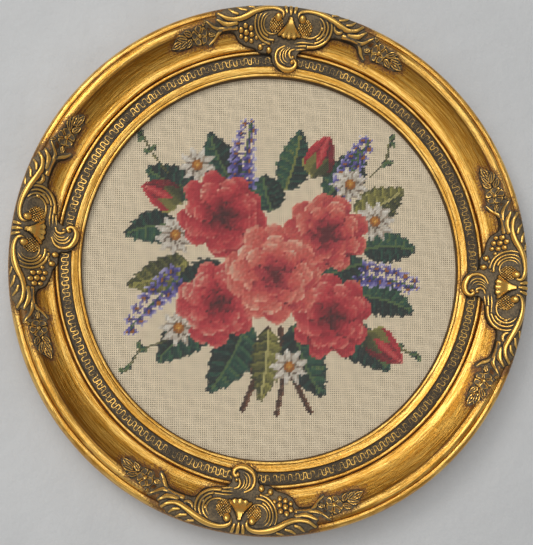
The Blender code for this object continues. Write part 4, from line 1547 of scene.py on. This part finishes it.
def set_camera(stage):
    """The camera at the photograph's angle, a little below and to the left of the panel's middle."""
    azimuth, elevation = stage.azimuth, stage.elevation
    level = math.cos(elevation)
    away = Vector((math.sin(azimuth) * level, -math.cos(azimuth) * level, math.sin(elevation)))
    right = Vector((math.cos(azimuth), math.sin(azimuth), 0))
    up = right.cross(-away)
    aim = right * stage.aim_right + up * stage.aim_up
    data = bpy.data.cameras.new("camera")
    data.sensor_width = 36
    data.lens = stage.lens
    camera = new_object("camera", data)
    camera.location = aim + away * stage.distance
    camera.rotation_euler = (-away).to_track_quat("-Z", "Y").to_euler()
    bpy.context.scene.camera = camera


def set_world(stage):
    """Soft even light from the room on all sides."""
    world = bpy.data.worlds.new("soft_room")
    world.use_nodes = True
    tree = world.node_tree
    background = tree.nodes["Background"]
    feed(tree, background.inputs["Color"], stage.room_colour[:])
    background.inputs["Strength"].default_value = stage.room_strength
    bpy.context.scene.world = world


# Settings

def size_property(name, description, default):
    return bpy.props.FloatProperty(
        name=name, description=description, default=default, unit="LENGTH", precision=5
    )


def share_property(name, description, default, most=1):
    return bpy.props.FloatProperty(
        name=name, description=description, default=default, min=0, max=most, subtype="FACTOR"
    )


def angle_property(name, description, degrees):
    return bpy.props.FloatProperty(
        name=name, description=description, default=math.radians(degrees), subtype="ANGLE"
    )


def number_property(name, description, default):
    return bpy.props.FloatProperty(name=name, description=description, default=default, min=0)


def count_property(name, description, default, least=1):
    return bpy.props.IntProperty(name=name, description=description, default=default, min=least)


def colour_property(name, description, default):
    return bpy.props.FloatVectorProperty(
        name=name, description=description, default=default, subtype="COLOR", size=3, min=0, max=1
    )


class MouldingSettings(bpy.types.PropertyGroup):
    ring_steps: count_property("Ring steps", "Facets round the moulding", 288, 48)
    leaf_bright: colour_property("Bright leaf", "Burnished leaf", (1.0, 0.63, 0.17))
    leaf_deep: colour_property("Deep leaf", "Leaf in the duller streaks", (0.66, 0.33, 0.055))
    # Partly real brown toning, partly painted shade: multiplied over the leaf in the cove and on the lip's
    # inner wall
    toning_veil_and_shade: colour_property("Veil", "Clear brown toning over the leaf in the cove", (0.56, 0.50, 0.36))
    bole: colour_property("Bole", "Red clay that shows where leaf is worn", (0.33, 0.085, 0.022))
    glaze_and_shade: colour_property("Glaze", "Dark toning in grooves", (0.05, 0.026, 0.009))
    leaf_roughness: share_property("Leaf roughness", "Roughness of burnished leaf", 0.23)
    # The dark glazing colour also paints the shade on the lip's inner wall
    key_repeats: count_property("Key repeats", "Repeats of the frieze's key", 172)
    key_half_width: size_property("Key half-width", "Half the width of the key's ribbon", 0.50 * MM)
    key_rise: size_property("Key rise", "How far the key stands off its ground", 0.9 * MM)


class CartoucheSettings(bpy.types.PropertyGroup):
    cell: size_property("Cell", "Spacing of the carved grid", 0.48 * MM)
    rub_reach: size_property("Rub reach", "Half-width of the ground that a ridge is compared with", 1.0 * MM)
    wash: colour_property("Wash", "Taupe wash", (0.082, 0.063, 0.040))
    wash_warm: colour_property("Warm wash", "Wash where gold shines through", (0.200, 0.142, 0.074))
    hollow: colour_property("Hollow", "Dark in the deepest parts", (0.014, 0.009, 0.005))
    rubbed: colour_property("Rubbed gold", "Leaf on the rubbed ridges", (0.94, 0.56, 0.135))


class CanvasSettings(bpy.types.PropertyGroup):
    pitch: size_property("Pitch", "Distance from thread to thread: 14 to the inch", 25.4 * MM / 14)
    thread_half: size_property("Thread half-width", "Half the width of one thread", 0.54 * MM)
    thread_level: size_property("Thread level", "Middle of the weave, from the canvas's back", 1.08 * MM)
    thread_wave: size_property("Thread wave", "How far a thread swings over and under", 0.22 * MM)
    thread_crown: size_property("Thread crown", "Roundness of a thread", 0.20 * MM)
    ground_front: size_property("Ground front", "Face of the ground in front of the canvas's back", 0.6 * MM)
    thread_colour: colour_property("Thread", "Unbleached cotton", (0.74, 0.625, 0.45))


class WoolSettings(bpy.types.PropertyGroup):
    pitch: size_property("Pitch", "Distance from stitch to stitch", 25.4 * MM / 14)
    length_share: share_property("Length", "Length of a stitch in pitches", 1.50, 2)
    width_share: share_property("Width", "Width of a stitch in pitches", 0.80, 2)
    rise: size_property("Rise", "How far a stitch stands off the canvas", 0.85 * MM)
    colour_change: share_property("Colour change", "Change of colour from stitch to stitch", 0.13)
    seed: count_property("Seed", "Seed of each stitch's small differences", 7, 0)


class StageSettings(bpy.types.PropertyGroup):
    azimuth: angle_property("Azimuth", "Camera's turn round the panel", -5.5)
    elevation: angle_property("Elevation", "Camera's height as an angle", -6.6)
    distance: size_property("Distance", "Camera to panel", 0.8)
    aim_right: size_property("Aim right", "Aim point to the right of the middle", -0.0061)
    aim_up: size_property("Aim up", "Aim point above the middle", -0.0074)
    lens: number_property("Lens", "Focal length in millimetres", 62.1)
    wall_half: size_property("Wall half-width", "Half the width of the wall and floor", 4.0)
    wall_gap: size_property("Wall gap", "Wall behind the panel's back", 0.0005)
    drop: size_property("Drop", "Floor below the panel's middle", 0.9)
    room_colour: colour_property("Room", "Colour of the room's soft light", (0.86, 0.88, 0.92))
    room_strength: number_property("Room strength", "Strength of the room's light", 0.28)
    window_power: number_property("Window power", "Wide soft light in watts", 50)
    key_power: number_property("Key power", "Key light in watts", 20)


# Operators

class PieceOperator:
    bl_options = {"REGISTER", "UNDO"}


class PANEL_OT_finishes(PieceOperator, bpy.types.Operator):
    """Make the shared shader groups and the gilt, patina and wood finishes"""
    bl_idname = "needle_panel.finishes"
    bl_label = "Make finishes"

    def execute(self, context):
        turned_streaks_group()
        specks_group()
        gilt_material(context.scene.moulding_settings)
        patina_material(context.scene.cartouche_settings)
        bare_wood_material()
        return {"FINISHED"}


class PANEL_OT_moulding(PieceOperator, bpy.types.Operator):
    """Turn the gilt moulding"""
    bl_idname = "needle_panel.moulding"
    bl_label = "Add moulding"

    def execute(self, context):
        finishes = [bpy.data.materials[name] for name in ("gilt_leaf", "antique_patina", "bare_wood")]
        make_moulding(context.scene.moulding_settings, *finishes)
        return {"FINISHED"}


class PANEL_OT_frieze(PieceOperator, bpy.types.Operator):
    """Run the raised key round the frieze"""
    bl_idname = "needle_panel.frieze"
    bl_label = "Add frieze key"

    def execute(self, context):
        make_frieze(context.scene.moulding_settings, bpy.data.materials["antique_patina"])
        return {"FINISHED"}


class PANEL_OT_cartouches(PieceOperator, bpy.types.Operator):
    """Cast the four scroll-and-shell cartouches"""
    bl_idname = "needle_panel.cartouches"
    bl_label = "Add cartouches"

    def execute(self, context):
        make_castings(context.scene.cartouche_settings, bpy.data.materials["antique_patina"])
        return {"FINISHED"}


class PANEL_OT_needlework(PieceOperator, bpy.types.Operator):
    """Stretch the canvas, weave its threads and work the posy in wool"""
    bl_idname = "needle_panel.needlework"
    bl_label = "Add canvas and stitches"

    def execute(self, context):
        cloth, wool = context.scene.canvas_settings, context.scene.wool_settings
        chart = posy_chart()
        green = green_stitches(chart)
        canvas = make_canvas(cloth, ground_cloth_hole_shade_material(cloth.thread_colour[:], cloth.pitch))
        along_warp, along_weft = (700.0, 500.0, 90.0), (90.0, 500.0, 700.0)
        warp = make_threads(
            cloth, "canvas_warp", 1, thread_material("warp_thread", cloth.thread_colour[:], along_warp), chart
        )
        weft = make_threads(
            cloth, "canvas_weft", 0, thread_material("weft_thread", cloth.thread_colour[:], along_weft), chart
        )
        yarn = wool_material()
        flowers = make_stitches(wool, "stitches_flowers", chart, (chart != BARE) & ~green, yarn)
        leaves = make_stitches(wool, "stitches_leaves", chart, green, yarn)
        back = make_stitches(wool, "stitches_back", chart, chart != BARE, yarn, back=True)
        return {"FINISHED"}


class PANEL_OT_stage(PieceOperator, bpy.types.Operator):
    """Set the wall, floor, lights, room light and camera"""
    bl_idname = "needle_panel.stage"
    bl_label = "Set stage"

    def execute(self, context):
        stage = context.scene.stage_settings
        make_stage(stage)
        soft_light("window_light", stage.window_power, *WINDOW_LIGHT)
        soft_light("key_light", stage.key_power, *KEY_LIGHT)
        set_world(stage)
        set_camera(stage)
        context.scene.view_settings.view_transform = "Standard"
        context.scene.view_settings.look = "None"
        return {"FINISHED"}


class PANEL_PT_maker(bpy.types.Panel):
    bl_idname = "PANEL_PT_needle_panel_maker"
    bl_label = "Needlepoint Panel Maker"
    bl_space_type = "VIEW_3D"
    bl_region_type = "UI"
    bl_category = "Panel Maker"

    def draw(self, context):
        for operator in OPERATORS:
            self.layout.operator(operator.bl_idname)


SETTINGS = {
    "moulding_settings": MouldingSettings,
    "cartouche_settings": CartoucheSettings,
    "canvas_settings": CanvasSettings,
    "wool_settings": WoolSettings,
    "stage_settings": StageSettings,
}
OPERATORS = [
    PANEL_OT_finishes, PANEL_OT_moulding, PANEL_OT_frieze, PANEL_OT_cartouches, PANEL_OT_needlework,
    PANEL_OT_stage,
]


def register():
    for owner in [*SETTINGS.values(), *OPERATORS, PANEL_PT_maker]:
        bpy.utils.register_class(owner)
    for name, group in SETTINGS.items():
        setattr(bpy.types.Scene, name, bpy.props.PointerProperty(type=group))


def unregister():
    for name in SETTINGS:
        delattr(bpy.types.Scene, name)
    for owner in reversed([*SETTINGS.values(), *OPERATORS, PANEL_PT_maker]):
        bpy.utils.unregister_class(owner)


def main():
    register()
    bpy.ops.needle_panel.finishes()
    bpy.ops.needle_panel.moulding()
    bpy.ops.needle_panel.frieze()
    bpy.ops.needle_panel.cartouches()
    bpy.ops.needle_panel.needlework()
    bpy.ops.needle_panel.stage()


if __name__ == "__main__":
    main()
